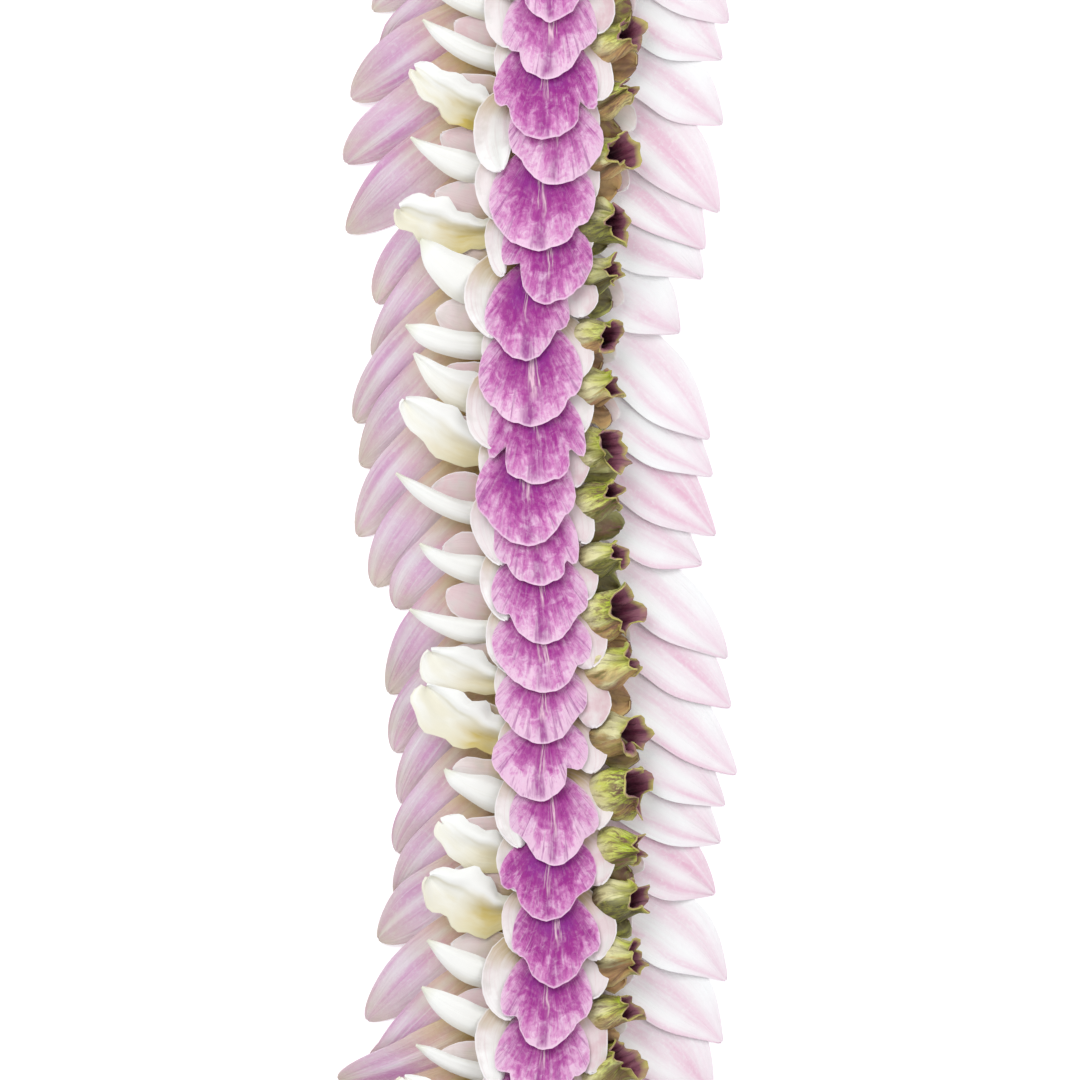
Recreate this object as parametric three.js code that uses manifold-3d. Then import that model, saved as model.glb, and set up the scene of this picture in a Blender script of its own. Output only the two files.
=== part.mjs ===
// Fresh flower lei, sewn flat: a closed loop of pressed blossoms, lying on a level surface.
// Millimetres, +Z up. The loop has two straight sides along Y and two round ends.
//
// Strand coordinates, used for every petal:
//   u  along the strand, the way the petal tips point (clockwise seen from above)
//   v  across the strand, positive toward the outside of the loop
//   w  height above the surface
import * as THREE from 'three';
import { mergeVertices } from 'three/addons/utils/BufferGeometryUtils.js';
import Module from 'manifold-3d';

const wasm = await Module();
wasm.setup();

// Loop
const BLOSSOMS = 80;
const PITCH = 11.4; // from one blossom to the next
const SECTIONS = 10;
const PER_SECTION = BLOSSOMS / SECTIONS;
const ROUND = BLOSSOMS * PITCH; // length of the thread line
const BEND_R = 80;
const STRAIGHT = (ROUND - 2 * Math.PI * BEND_R) / 2;
const WANDER = 2.2; // how far the row snakes to either side
const WANDER_WAVES = 5;
const WANDER_PEAK = 109;
const STEPS_PER_SECTION = 4;
const STEP = ROUND / (SECTIONS * STEPS_PER_SECTION);
const SECTION_GAP = 0.4; // between the cores of neighbouring sections
const ROOT_SHIFT = 0.6; // every blossom's root past its mark along the strand

// Thread and the flower bases round it
const THREAD_R = 0.65;
const THREAD_SIDES = 5;
const THREAD_W = 8;
const BASE_HALF = 2; // half the side of the row of bases
const BASE_HOLE = 0.95; // half the side of the way through for the thread
const HOLE_PAST = 1; // how far that way runs past each section
const KNOT_R = 1.55;
const KNOT_END_R = 0.85;
const KNOT_ROOM = 3.2; // free length on each side of the knot's middle
const TAIL_HALF = 0.3;
const TAIL_LENGTH = 2.6;
const TAIL_PLACE = [1.1, 0.4]; // v and w of a tail beside the thread

// Three-sided cores that hold each colour's petals, as [v, w] corners
const BANNER_CORE = [[-1.4, 13.6], [0, 12.3], [1.4, 13.6]];
const KEEL_CORE = [[-1.5, 10.35], [1.5, 10.35], [0, 11.9]];
const INNER_CORE = [[-2.6, 5.7], [-1.4, 4.2], [-0.25, 5.7]];
const OUTER_CORE = [[0.25, 5.7], [1.4, 4.2], [2.6, 5.7]];

// A petal's root is [u, v, w] inside a core, its knee and tip are [u, v], and its wide places
// are [part of its length, half width]. Shares of a half width or a reach are named so.

// Banner petals: roof tiles over the middle
const BANNER_T = 1;
const BANNER_W = 13.4; // height of the mid-surface at the root
const BANNER_RISE = 0.27; // slope toward the tip
const BANNER_LENGTH = 21;
const BANNER_ROOT = [0.4, 0, 13.2];
const BANNER_KNEE_U = 8;
const BANNER_WIDE_SHARES = [[0.3, 0.8], [0.6, 1], [0.88, 0.62]];
const ROOF = 0.13; // how fast the sides droop

// Pale rounded petals in pairs under the banners
const LOBE_T = 0.9;
const LOBE_DROP = 1.55; // below the banner of the same blossom
const LOBE_ROOT = [1, 0.3, 11.1];
const LOBE_KNEE = [3.5, 12.2];
const LOBE_TIP = [15.6, 10.7];
const LOBE_WIDE = [[0.56, 4]];
const LOBE_TIP_VARIES = [0.5, 0.4];

// Keels
const KEEL_T = 1;
const KEEL_LEAN = -0.1;
const KEEL_ROOT = [5, -0.2, 10.9];
const KEEL_KNEE = [11, -12];
const KEEL_WIDE_SHARES = [[0.5, 0.75], [0.8, 1]];
const KEEL_HEIGHT = [[0, 10.9], [2.5, 10.8], [8, 9.7], [13, 9.9], [20, 12], [30, 14.5]];

// Long petals of the lowest layer
const LONG_T = 1;
const LONG_STEP = 0.2; // slope along the strand that shingles them
const LONG_ROOT = [0, 1.4, 5.1];
const INNER_HEIGHT = [[0, 5], [2, 5], [10, 5.3], [18, 3.4], [25, 0.9], [30, 0.3], [45, 0]];
const INNER_SLANT = 0.92; // nominal du/dv of the middle lines
const INNER_KNEE_U = 9;
const INNER_KNEE_SHARE = 0.45; // of the tip's reach to the side
const INNER_WIDE = [[0.42, 5.2], [0.84, 5.6]];
const OUTER_HEIGHT = [[0, 5], [2, 5], [9, 4.9], [16, 3.5], [22, 1.9], [28, 0.4], [45, 0]];
const OUTER_SLANT = 0.55;
const OUTER_KNEE_U = 3.5;
const OUTER_KNEE_SHARE = 0.5;
const OUTER_WIDE = [[0.4, 6.2], [0.78, 6.8]];

// Calyx cups
const CUP_SIDES = 5;
const CUP_ROOT = [6, 1.45, 8.5];
const CUP_NECK = [5.6, 12, 8.5];
const CUP_NECK_AXIS = [-0.1, 1, 0.2];
const CUP_NECK_R = 1.2;
const CUP_TO_MOUTH = [-2, 7.2, 3.5]; // from the neck
const CUP_R = 4.2;
const CUP_DEPTH = 0.65; // of the flare
const CUP_SHIFT_SHARE = 0.5; // of a blossom's own shift to the side

// The blossoms of the stretch in view, from its top to its bottom, measured in mm:
//   banner: [tip past the usual length, sideways shift, half width]
//   keel: [tip u, tip v, half width]
//   inner and outer: [tip u, tip v] of the two long petals
//   cup: [u shift, v shift, size against the usual one]
const LOOKS = [
  { banner: [1, 0.1, 9.5], keel: [-1, 25, 3], inner: [26, 39], outer: [18, 35], cup: [-1, 0, 0.95] },
  { banner: [1.7, -0.1, 10.4], keel: [-0.8, 25.4, 2], inner: [27.6, 39], outer: [19.6, 36], cup: [-2, 0, 1] },
  { banner: [-0.6, 2.8, 9.5], keel: [-2.7, 27, 4.5], inner: [30, 38], outer: [26, 36.5], cup: [-1.5, 0, 0.8] },
  { banner: [1, 0.9, 10.6], keel: [0, 26.4, 2.2], inner: [33, 31], outer: [22, 34], cup: [-1, 0, 0.9] },
  { banner: [0.3, 2.6, 9.2], keel: [2.6, 28, 5], inner: [33, 31], outer: [16.6, 34], cup: [2, 0, 1.1] },
  { banner: [0.3, -0.8, 8.5], keel: [-3.8, 22.4, 3], inner: [34, 35], outer: [16, 30], cup: [1, -1, 0.9] },
  { banner: [1.9, 0.2, 10.4], keel: [3.4, 25, 2.5], inner: [31, 34.4], outer: [26, 36], cup: [1, 1, 0.9] },
  { banner: [2, 1.3, 9.6], keel: [-2.4, 23.2, 3.5], inner: [34, 35.6], outer: [22, 36.4], cup: [0, 0, 1] },
  { banner: [3, -1.3, 10], keel: [-4.8, 25, 4], inner: [33, 32.6], outer: [22.6, 36.4], cup: [1.5, 1, 1] },
  { banner: [-0.5, 0.3, 8.5], keel: [-1.2, 27, 1.9], inner: [26, 28.4], outer: [17, 33.4], cup: [-1.5, 1, 0.95] },
  { banner: [-0.1, 0.3, 9.7], keel: [1.5, 23, 2.2], inner: [31.5, 31.6], outer: [24.5, 37], cup: [-0.5, 1, 0.95] },
  { banner: [-1.8, 0, 10], keel: [3.2, 26, 2], inner: [32, 31], outer: [23, 37], cup: [-0.5, 2, 1] },
  { banner: [-3, -1.1, 9.2], keel: [-0.2, 24, 3.5], inner: [31, 30], outer: [25, 37.5], cup: [-1, 3, 1.1] },
  { banner: [-2.9, -2.2, 9.6], keel: [-4.6, 25.6, 5], inner: [29.4, 31], outer: [20, 35], cup: [1, 1, 1] },
  { banner: [-1.5, 0.6, 9], keel: [1, 21, 2.8], inner: [27, 31], outer: [16, 34], cup: [1, 4, 1.15] },
  { banner: [-1.8, -0.7, 9.7], keel: [-0.2, 22.4, 4], inner: [24, 34.4], outer: [15, 33], cup: [2, 2, 0.9] },
  { banner: [-0.1, 1.4, 8.9], keel: [-0.6, 24.6, 5], inner: [29, 35.6], outer: [21, 36], cup: [-1, 3, 1] },
  { banner: [1, 0.1, 9.2], keel: [1, 24.4, 2.5], inner: [30, 34], outer: [22, 36], cup: [0, 2, 1] },
];
const FIRST_LOOK = 10; // the blossom that the first row belongs to

// A number from -1 to 1 that is always the same for a blossom and a use of it
function draw(blossom, use) {
  const x = Math.sin(blossom * 12.9898 + use * 78.233) * 43758.5453;
  return 2 * (x - Math.floor(x)) - 1;
}

// Straight lines through [x, y] points
function along(points, x) {
  const last = points.length - 1;
  const k = Math.min(Math.max(points.findIndex((p) => p[0] > x) - 1, 0), last - 1);
  const at = points[last][0] <= x ? last - 1 : k;
  const [x0, y0] = points[at];
  const [x1, y1] = points[at + 1];
  return y0 + (y1 - y0) * Math.min(Math.max((x - x0) / (x1 - x0), 0), 1);
}

// Point on the smooth loop, with s from the middle of the +Y end, and its outward direction
function smoothFrame(s) {
  const at = ((s % ROUND) + ROUND) % ROUND;
  const quarter = (Math.PI * BEND_R) / 2;
  const half = STRAIGHT / 2;
  const far = at >= ROUND / 2 ? 1 : 0;
  const turn = at - far * (ROUND / 2);
  let x;
  let y;
  let out;
  if (turn < quarter) {
    const a = turn / BEND_R;
    out = [Math.sin(a), Math.cos(a)];
    x = BEND_R * out[0];
    y = half + BEND_R * out[1];
  } else if (turn < quarter + STRAIGHT) {
    out = [1, 0];
    x = BEND_R;
    y = half - (turn - quarter);
  } else {
    const a = Math.PI / 2 + (turn - quarter - STRAIGHT) / BEND_R;
    out = [Math.sin(a), Math.cos(a)];
    x = BEND_R * out[0];
    y = -half + BEND_R * out[1];
  }
  const sign = far ? -1 : 1;
  return { x: sign * x, y: sign * y, out: [sign * out[0], sign * out[1]] };
}

// The row's middle line as straight steps, so that cores and petals bend alike
const FRAMES = [];
for (let k = 0; k < SECTIONS * STEPS_PER_SECTION; k += 1) {
  const s = k * STEP;
  const frame = smoothFrame(s);
  const aside = WANDER * Math.cos((2 * Math.PI * WANDER_WAVES * (s - WANDER_PEAK)) / ROUND);
  frame.x += aside * frame.out[0];
  frame.y += aside * frame.out[1];
  FRAMES.push(frame);
}

// Strand coordinates to the world
function place(s, v, w) {
  const at = s / STEP;
  const k = Math.floor(at);
  const t = at - k;
  const a = FRAMES[((k % FRAMES.length) + FRAMES.length) % FRAMES.length];
  const b = FRAMES[(((k + 1) % FRAMES.length) + FRAMES.length) % FRAMES.length];
  const x = (1 - t) * (a.x + v * a.out[0]) + t * (b.x + v * b.out[0]);
  const y = (1 - t) * (a.y + v * a.out[1]) + t * (b.y + v * b.out[1]);
  return [x, y, w];
}

// Closed solid from rings of points that follow one another. Either end is flat, or runs out
// to a point. A loop has no ends.
function ringSolid(rings, { root = null, tip = null, loop = false } = {}) {
  const n = rings[0].length;
  const end = (rings.length - 1) * n;
  const points = rings.flat();
  const faces = [];
  const spans = loop ? rings.length : rings.length - 1;
  for (let k = 0; k < spans; k += 1) {
    const a = k * n;
    const b = ((k + 1) % rings.length) * n;
    for (let j = 0; j < n; j += 1) {
      const j1 = (j + 1) % n;
      faces.push([a + j, a + j1, b + j1], [a + j, b + j1, b + j]);
    }
  }
  if (loop) {
    return solidFrom(points, faces);
  }
  if (root) {
    points.push(root);
    for (let j = 0; j < n; j += 1) {
      faces.push([(j + 1) % n, j, points.length - 1]);
    }
  } else {
    for (let j = 1; j < n - 1; j += 1) {
      faces.push([0, j + 1, j]);
    }
  }
  if (tip) {
    points.push(tip);
    for (let j = 0; j < n; j += 1) {
      faces.push([end + j, end + ((j + 1) % n), points.length - 1]);
    }
  } else {
    for (let j = 1; j < n - 1; j += 1) {
      faces.push([end, end + j, end + j + 1]);
    }
  }
  return solidFrom(points, faces);
}

// Indexed faces to a solid that faces out
function solidFrom(points, faces) {
  let volume = 0;
  faces.forEach(([a, b, c]) => {
    const [p, q, r] = [points[a], points[b], points[c]];
    volume += p[0] * (q[1] * r[2] - q[2] * r[1]);
    volume += p[1] * (q[2] * r[0] - q[0] * r[2]);
    volume += p[2] * (q[0] * r[1] - q[1] * r[0]);
  });
  const geometry = new THREE.BufferGeometry();
  geometry.setAttribute('position', new THREE.Float32BufferAttribute(points.flat(), 3));
  geometry.setIndex(faces.flatMap(([a, b, c]) => (volume < 0 ? [a, c, b] : [a, b, c])));
  const merged = mergeVertices(geometry, 1e-5);
  return new wasm.Manifold(new wasm.Mesh({
    numProp: 3,
    vertProperties: merged.attributes.position.array,
    triVerts: merged.index.array,
  }));
}

// A petal: its middle line runs from the root, a point inside a core, over the knee to the
// tip. It has half widths at parts of its length and a height for every place, and is thick in
// the middle and thin at its edges. Nothing reaches below the surface that the lei lies on.
function petal({ s, root, knee, tip, widths, thickness, height }) {
  const point = (t) => [0, 1].map((i) => (
    (1 - t) ** 2 * root[i] + 2 * t * (1 - t) * knee[i] + t * t * tip[i]
  ));
  const lay = (u, v, extra, low) => place(s + u, v, Math.max(low, height(u, v) + extra));
  const rings = widths.map(([t, half]) => {
    const [u, v] = point(t);
    const [u1, v1] = point(t + 0.01);
    const [u0, v0] = point(t - 0.01);
    const length = Math.hypot(u1 - u0, v1 - v0);
    const [nu, nv] = [(-(v1 - v0) / length) * half, ((u1 - u0) / length) * half];
    return [
      lay(u - nu, v - nv, 0, 0),
      lay(u, v, thickness / 2, thickness),
      lay(u + nu, v + nv, 0, 0),
      lay(u, v, -thickness / 2, 0),
    ];
  });
  return ringSolid(rings, {
    root: place(s + root[0], root[1], root[2]),
    tip: lay(tip[0], tip[1], 0, 0),
  });
}

// Core of one section along its [v, w] corners
function core(section, corners) {
  const marks = [section * PER_SECTION * PITCH + SECTION_GAP / 2];
  for (let k = 1; k < STEPS_PER_SECTION; k += 1) {
    marks.push((section * STEPS_PER_SECTION + k) * STEP);
  }
  marks.push((section + 1) * PER_SECTION * PITCH - SECTION_GAP / 2);
  return ringSolid(marks.map((s) => corners.map(([v, w]) => place(s, v, w))));
}

const lookOf = (i) => LOOKS[(i - FIRST_LOOK + BLOSSOMS * LOOKS.length) % LOOKS.length];
const startOf = (i) => i * PITCH + ROOT_SHIFT;

function banner(i) {
  const [past, shift, half] = lookOf(i).banner;
  return petal({
    s: startOf(i),
    root: BANNER_ROOT,
    knee: [BANNER_KNEE_U, shift],
    tip: [BANNER_LENGTH + past, shift],
    widths: BANNER_WIDE_SHARES.map(([t, share]) => [t, share * half]),
    thickness: BANNER_T,
    height: (u, v) => BANNER_W + BANNER_RISE * u - ROOF * Math.abs(v),
  });
}

function lobe(i, side) {
  const [u, v] = LOBE_TIP;
  const [du, dv] = LOBE_TIP_VARIES;
  return petal({
    s: startOf(i),
    root: [LOBE_ROOT[0], side * LOBE_ROOT[1], LOBE_ROOT[2]],
    knee: [LOBE_KNEE[0], side * LOBE_KNEE[1]],
    tip: [u + du * draw(i, 3 + side), side * (v + dv * draw(i, 6 + side))],
    widths: LOBE_WIDE,
    thickness: LOBE_T,
    height: (a, b) => BANNER_W - LOBE_DROP + BANNER_RISE * a - ROOF * Math.abs(b),
  });
}

function keel(i) {
  const [u, v, half] = lookOf(i).keel;
  return petal({
    s: startOf(i),
    root: KEEL_ROOT,
    knee: KEEL_KNEE,
    tip: [u, -v],
    widths: KEEL_WIDE_SHARES.map(([t, share]) => [t, share * half]),
    thickness: KEEL_T,
    height: (a, b) => along(KEEL_HEIGHT, Math.abs(b)) + KEEL_LEAN * (a - KEEL_ROOT[0]),
  });
}

function innerPetal(i) {
  const [u, v] = lookOf(i).inner;
  const level = (b) => along(INNER_HEIGHT, b) + LONG_STEP * INNER_SLANT * b;
  return petal({
    s: startOf(i),
    root: [LONG_ROOT[0], -LONG_ROOT[1], LONG_ROOT[2]],
    knee: [INNER_KNEE_U, -v * INNER_KNEE_SHARE],
    tip: [u, -v],
    widths: INNER_WIDE,
    thickness: LONG_T,
    height: (a, b) => level(Math.abs(b)) - LONG_STEP * a,
  });
}

function outerPetal(i) {
  const [u, v] = lookOf(i).outer;
  const level = (b) => along(OUTER_HEIGHT, b) - LONG_STEP * OUTER_SLANT * b;
  return petal({
    s: startOf(i),
    root: LONG_ROOT,
    knee: [OUTER_KNEE_U, v * OUTER_KNEE_SHARE],
    tip: [u, v],
    widths: OUTER_WIDE,
    thickness: LONG_T,
    height: (a, b) => level(Math.abs(b)) + LONG_STEP * a,
  });
}

// Ring of a cup: centre, unit direction of its axis, radius, all in strand coordinates
function cupRing(s, centre, axis, radius) {
  const a = new THREE.Vector3(...axis).normalize();
  const side = new THREE.Vector3(1, 0, 0).addScaledVector(a, -a.x).normalize();
  const up = new THREE.Vector3().crossVectors(side, a);
  return Array.from({ length: CUP_SIDES }, (_, k) => {
    const angle = (2 * Math.PI * (k + 0.5)) / CUP_SIDES;
    const p = new THREE.Vector3(...centre)
      .addScaledVector(side, radius * Math.cos(angle))
      .addScaledVector(up, radius * Math.sin(angle));
    return place(s + p.x, p.y, p.z);
  });
}

function cup(i) {
  const [du, dv, size] = lookOf(i).cup;
  const s = startOf(i);
  const mouth = [
    CUP_NECK[0] + CUP_TO_MOUTH[0] + du,
    CUP_NECK[1] + CUP_TO_MOUTH[1] + dv * CUP_SHIFT_SHARE,
    CUP_NECK[2] + CUP_TO_MOUTH[2],
  ];
  const axis = mouth.map((x, k) => x - CUP_NECK[k]);
  const bottom = mouth.map((x, k) => x - CUP_DEPTH * axis[k]);
  const rings = [
    cupRing(s, CUP_NECK, CUP_NECK_AXIS, CUP_NECK_R),
    cupRing(s, mouth, axis, CUP_R * size),
  ];
  return ringSolid(rings, {
    root: place(s + CUP_ROOT[0], CUP_ROOT[1], CUP_ROOT[2]),
    tip: place(s + bottom[0], bottom[1], bottom[2]),
  });
}

const square = (half, v0, w0) => [[-1, -1], [1, -1], [1, 1], [-1, 1]]
  .map(([v, w]) => [v0 + v * half, w0 + w * half]);

// Row of flower bases of one section, with the way through for the thread
function bases(section) {
  const from = section * PER_SECTION * PITCH;
  const marks = [from - HOLE_PAST];
  for (let k = 0; k <= STEPS_PER_SECTION; k += 1) {
    marks.push(from + k * STEP);
  }
  marks.push(from + STEPS_PER_SECTION * STEP + HOLE_PAST);
  const way = square(BASE_HOLE, 0, THREAD_W);
  const hole = ringSolid(marks.map((s) => way.map(([v, w]) => place(s, v, w))));
  const solid = core(section, square(BASE_HALF, 0, THREAD_W)).subtract(hole);
  if (section > 0 && section < SECTIONS - 1) {
    return solid;
  }
  const room = square(BASE_HALF + HOLE_PAST, 0, THREAD_W);
  return solid.subtract(ringSolid([-KNOT_ROOM, 0, KNOT_ROOM]
    .map((s) => room.map(([v, w]) => place(s, v, w)))));
}

function threadRing(s, radius) {
  return Array.from({ length: THREAD_SIDES }, (_, k) => {
    const angle = (2 * Math.PI * k) / THREAD_SIDES;
    return place(s, radius * Math.cos(angle), THREAD_W + radius * Math.sin(angle));
  });
}

// Thread round the whole loop, with its knot and two short tails
function thread() {
  const loop = ringSolid(FRAMES.map((_, k) => threadRing(k * STEP, THREAD_R)), { loop: true });
  const knot = ringSolid([
    threadRing(-KNOT_R, KNOT_END_R),
    threadRing(-KNOT_R / 2, KNOT_R),
    threadRing(KNOT_R / 2, KNOT_R),
    threadRing(KNOT_R, KNOT_END_R),
  ]);
  const tails = [-1, 1].map((side) => {
    const corners = square(TAIL_HALF, side * TAIL_PLACE[0], THREAD_W + side * TAIL_PLACE[1]);
    return ringSolid([0, side * TAIL_LENGTH].map((s) => corners.map(([v, w]) => place(s, v, w))));
  });
  return loop.add(knot).add(tails[0]).add(tails[1]);
}

function meshOf(name, colour, solid) {
  const { vertProperties, triVerts } = solid.getMesh();
  const geometry = new THREE.BufferGeometry();
  geometry.setAttribute('position', new THREE.Float32BufferAttribute(vertProperties, 3));
  geometry.setIndex(new THREE.Uint32BufferAttribute(triVerts, 1));
  geometry.computeVertexNormals();
  const material = new THREE.MeshStandardMaterial({ color: colour, roughness: 0.6 });
  const mesh = new THREE.Mesh(geometry, material);
  mesh.name = name;
  return mesh;
}

const COLOURS = {
  thread: 0xf2eee2,
  calyx: 0x8f9a3c,
  banner: 0xb45fb0,
  keel: 0xf4f1e0,
  lavender: 0xd3b3d6,
  white: 0xf3e3ef,
};

const lei = new THREE.Group();
lei.name = 'lei';
lei.add(meshOf('thread', COLOURS.thread, thread()));
for (let section = 0; section < SECTIONS; section += 1) {
  const mark = String(section + 1).padStart(2, '0');
  const own = Array.from({ length: PER_SECTION }, (_, k) => section * PER_SECTION + k);
  const add = (name, colour, start, petals) => {
    const solid = petals.reduce((sum, one) => sum.add(one), start);
    lei.add(meshOf(`${name}_${mark}`, colour, solid));
  };
  const sides = own.flatMap((i) => [keel(i), lobe(i, -1), lobe(i, 1)]);
  add('calyxes', COLOURS.calyx, bases(section), own.map(cup));
  add('banners', COLOURS.banner, core(section, BANNER_CORE), own.map(banner));
  add('keels', COLOURS.keel, core(section, KEEL_CORE), sides);
  add('inner_petals', COLOURS.lavender, core(section, INNER_CORE), own.map(innerPetal));
  add('outer_petals', COLOURS.white, core(section, OUTER_CORE), own.map(outerPetal));
}

// The loop's middle over the origin
const box = new THREE.Box3().setFromObject(lei);
const middle = box.getCenter(new THREE.Vector3());
lei.children.forEach((mesh) => {
  mesh.geometry.translate(-middle.x, -middle.y, 0);
});

export default lei;
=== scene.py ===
# Looks of the flower lei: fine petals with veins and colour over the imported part.
# Lengths are millimetres in strand coordinates and are scaled to metres when a mesh is made.
#   u  along the strand, the way the petal tips point (clockwise seen from above)
#   v  across the strand, positive toward the outside of the loop
#   w  height above the surface
import math

import bpy
import numpy as np
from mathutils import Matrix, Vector


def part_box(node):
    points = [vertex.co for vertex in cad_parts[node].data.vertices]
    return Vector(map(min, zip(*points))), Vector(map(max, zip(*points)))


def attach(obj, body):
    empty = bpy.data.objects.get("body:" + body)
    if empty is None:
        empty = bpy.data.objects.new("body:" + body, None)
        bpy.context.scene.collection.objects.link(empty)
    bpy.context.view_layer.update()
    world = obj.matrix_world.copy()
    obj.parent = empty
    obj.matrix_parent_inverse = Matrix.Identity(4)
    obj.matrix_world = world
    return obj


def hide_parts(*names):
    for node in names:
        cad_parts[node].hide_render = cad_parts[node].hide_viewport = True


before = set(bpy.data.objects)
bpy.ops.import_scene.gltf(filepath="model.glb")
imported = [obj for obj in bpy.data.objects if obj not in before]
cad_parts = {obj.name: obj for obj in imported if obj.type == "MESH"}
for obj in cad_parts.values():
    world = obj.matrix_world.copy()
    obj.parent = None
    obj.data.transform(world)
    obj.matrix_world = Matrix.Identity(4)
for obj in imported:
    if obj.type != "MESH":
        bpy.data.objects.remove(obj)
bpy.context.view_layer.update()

MM = 0.001

# Loop, as in the part's source
BLOSSOMS = 80
PITCH = 11.4
SECTIONS = 10
PER_SECTION = BLOSSOMS // SECTIONS
ROUND = BLOSSOMS * PITCH
BEND_R = 80.0
STRAIGHT = (ROUND - 2 * math.pi * BEND_R) / 2
WANDER = 2.2
WANDER_WAVES = 5
WANDER_PEAK = 109.0
ROOT_SHIFT = 0.6
THREAD_W = 8.0
THREAD_R = 0.65

# Heights, as in the part's source
BANNER_W = 13.4
BANNER_RISE = 0.27
BANNER_LENGTH = 21.0
ROOF = 0.13
LOBE_DROP = 1.55
LONG_STEP = 0.2
INNER_SLANT = 0.92
OUTER_SLANT = 0.55
KEEL_HEIGHT = [(0, 10.9), (2.5, 10.8), (8, 9.7), (13, 9.9), (20, 12), (30, 14.5)]
INNER_HEIGHT = [(0, 5), (2, 5), (10, 5.3), (18, 3.4), (25, 0.9), (30, 0.3), (45, 0)]
OUTER_HEIGHT = [(0, 5), (2, 5), (9, 4.9), (16, 3.5), (22, 1.9), (28, 0.4), (45, 0)]

# Heights of the petals' roots, and the least heights of their middle surfaces
LOBE_ROOT_W = 11.1
KEEL_ROOT_W = 10.9
LONG_ROOT_W = 5.1
LONG_ROOT_V = 1.4
BANNER_LOWEST = 12.4
LONG_LOWEST = 0.22

# Thickness
PETAL_T = 0.34
KEEL_T = PETAL_T + 0.14
CUP_T = 0.45
BASE_T = 0.5

# Cores that hold a section's petals: v, w and radius, then steps along them and gaps at the ends
BANNER_CORE = (0.0, 13.1, 0.75)
KEEL_CORE = (0.0, 10.95, 0.7)
INNER_CORE = (-LONG_ROOT_V, LONG_ROOT_W, 0.62)
OUTER_CORE = (LONG_ROOT_V, LONG_ROOT_W, 0.62)
CORE_STEP = 2.8
BASE_STEP = 1.9
END_GAP = 0.25
KNOT_ROOM = 3.0

# Points along and across each form
BANNER_GRID = (15, 41)
LOBE_GRID = (14, 9)
WING_GRID = (11, 7)
KEEL_GRID = (21, 13)
LONG_GRID = (25, 13)
CUP_GRID = (24, 32)
LIP_GRID = (12, 11)
CORD_GRID = (480, 12)
CORE_SIDES = 8
BASE_SIDES = 12
KNOT_SIDES = 8

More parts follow.
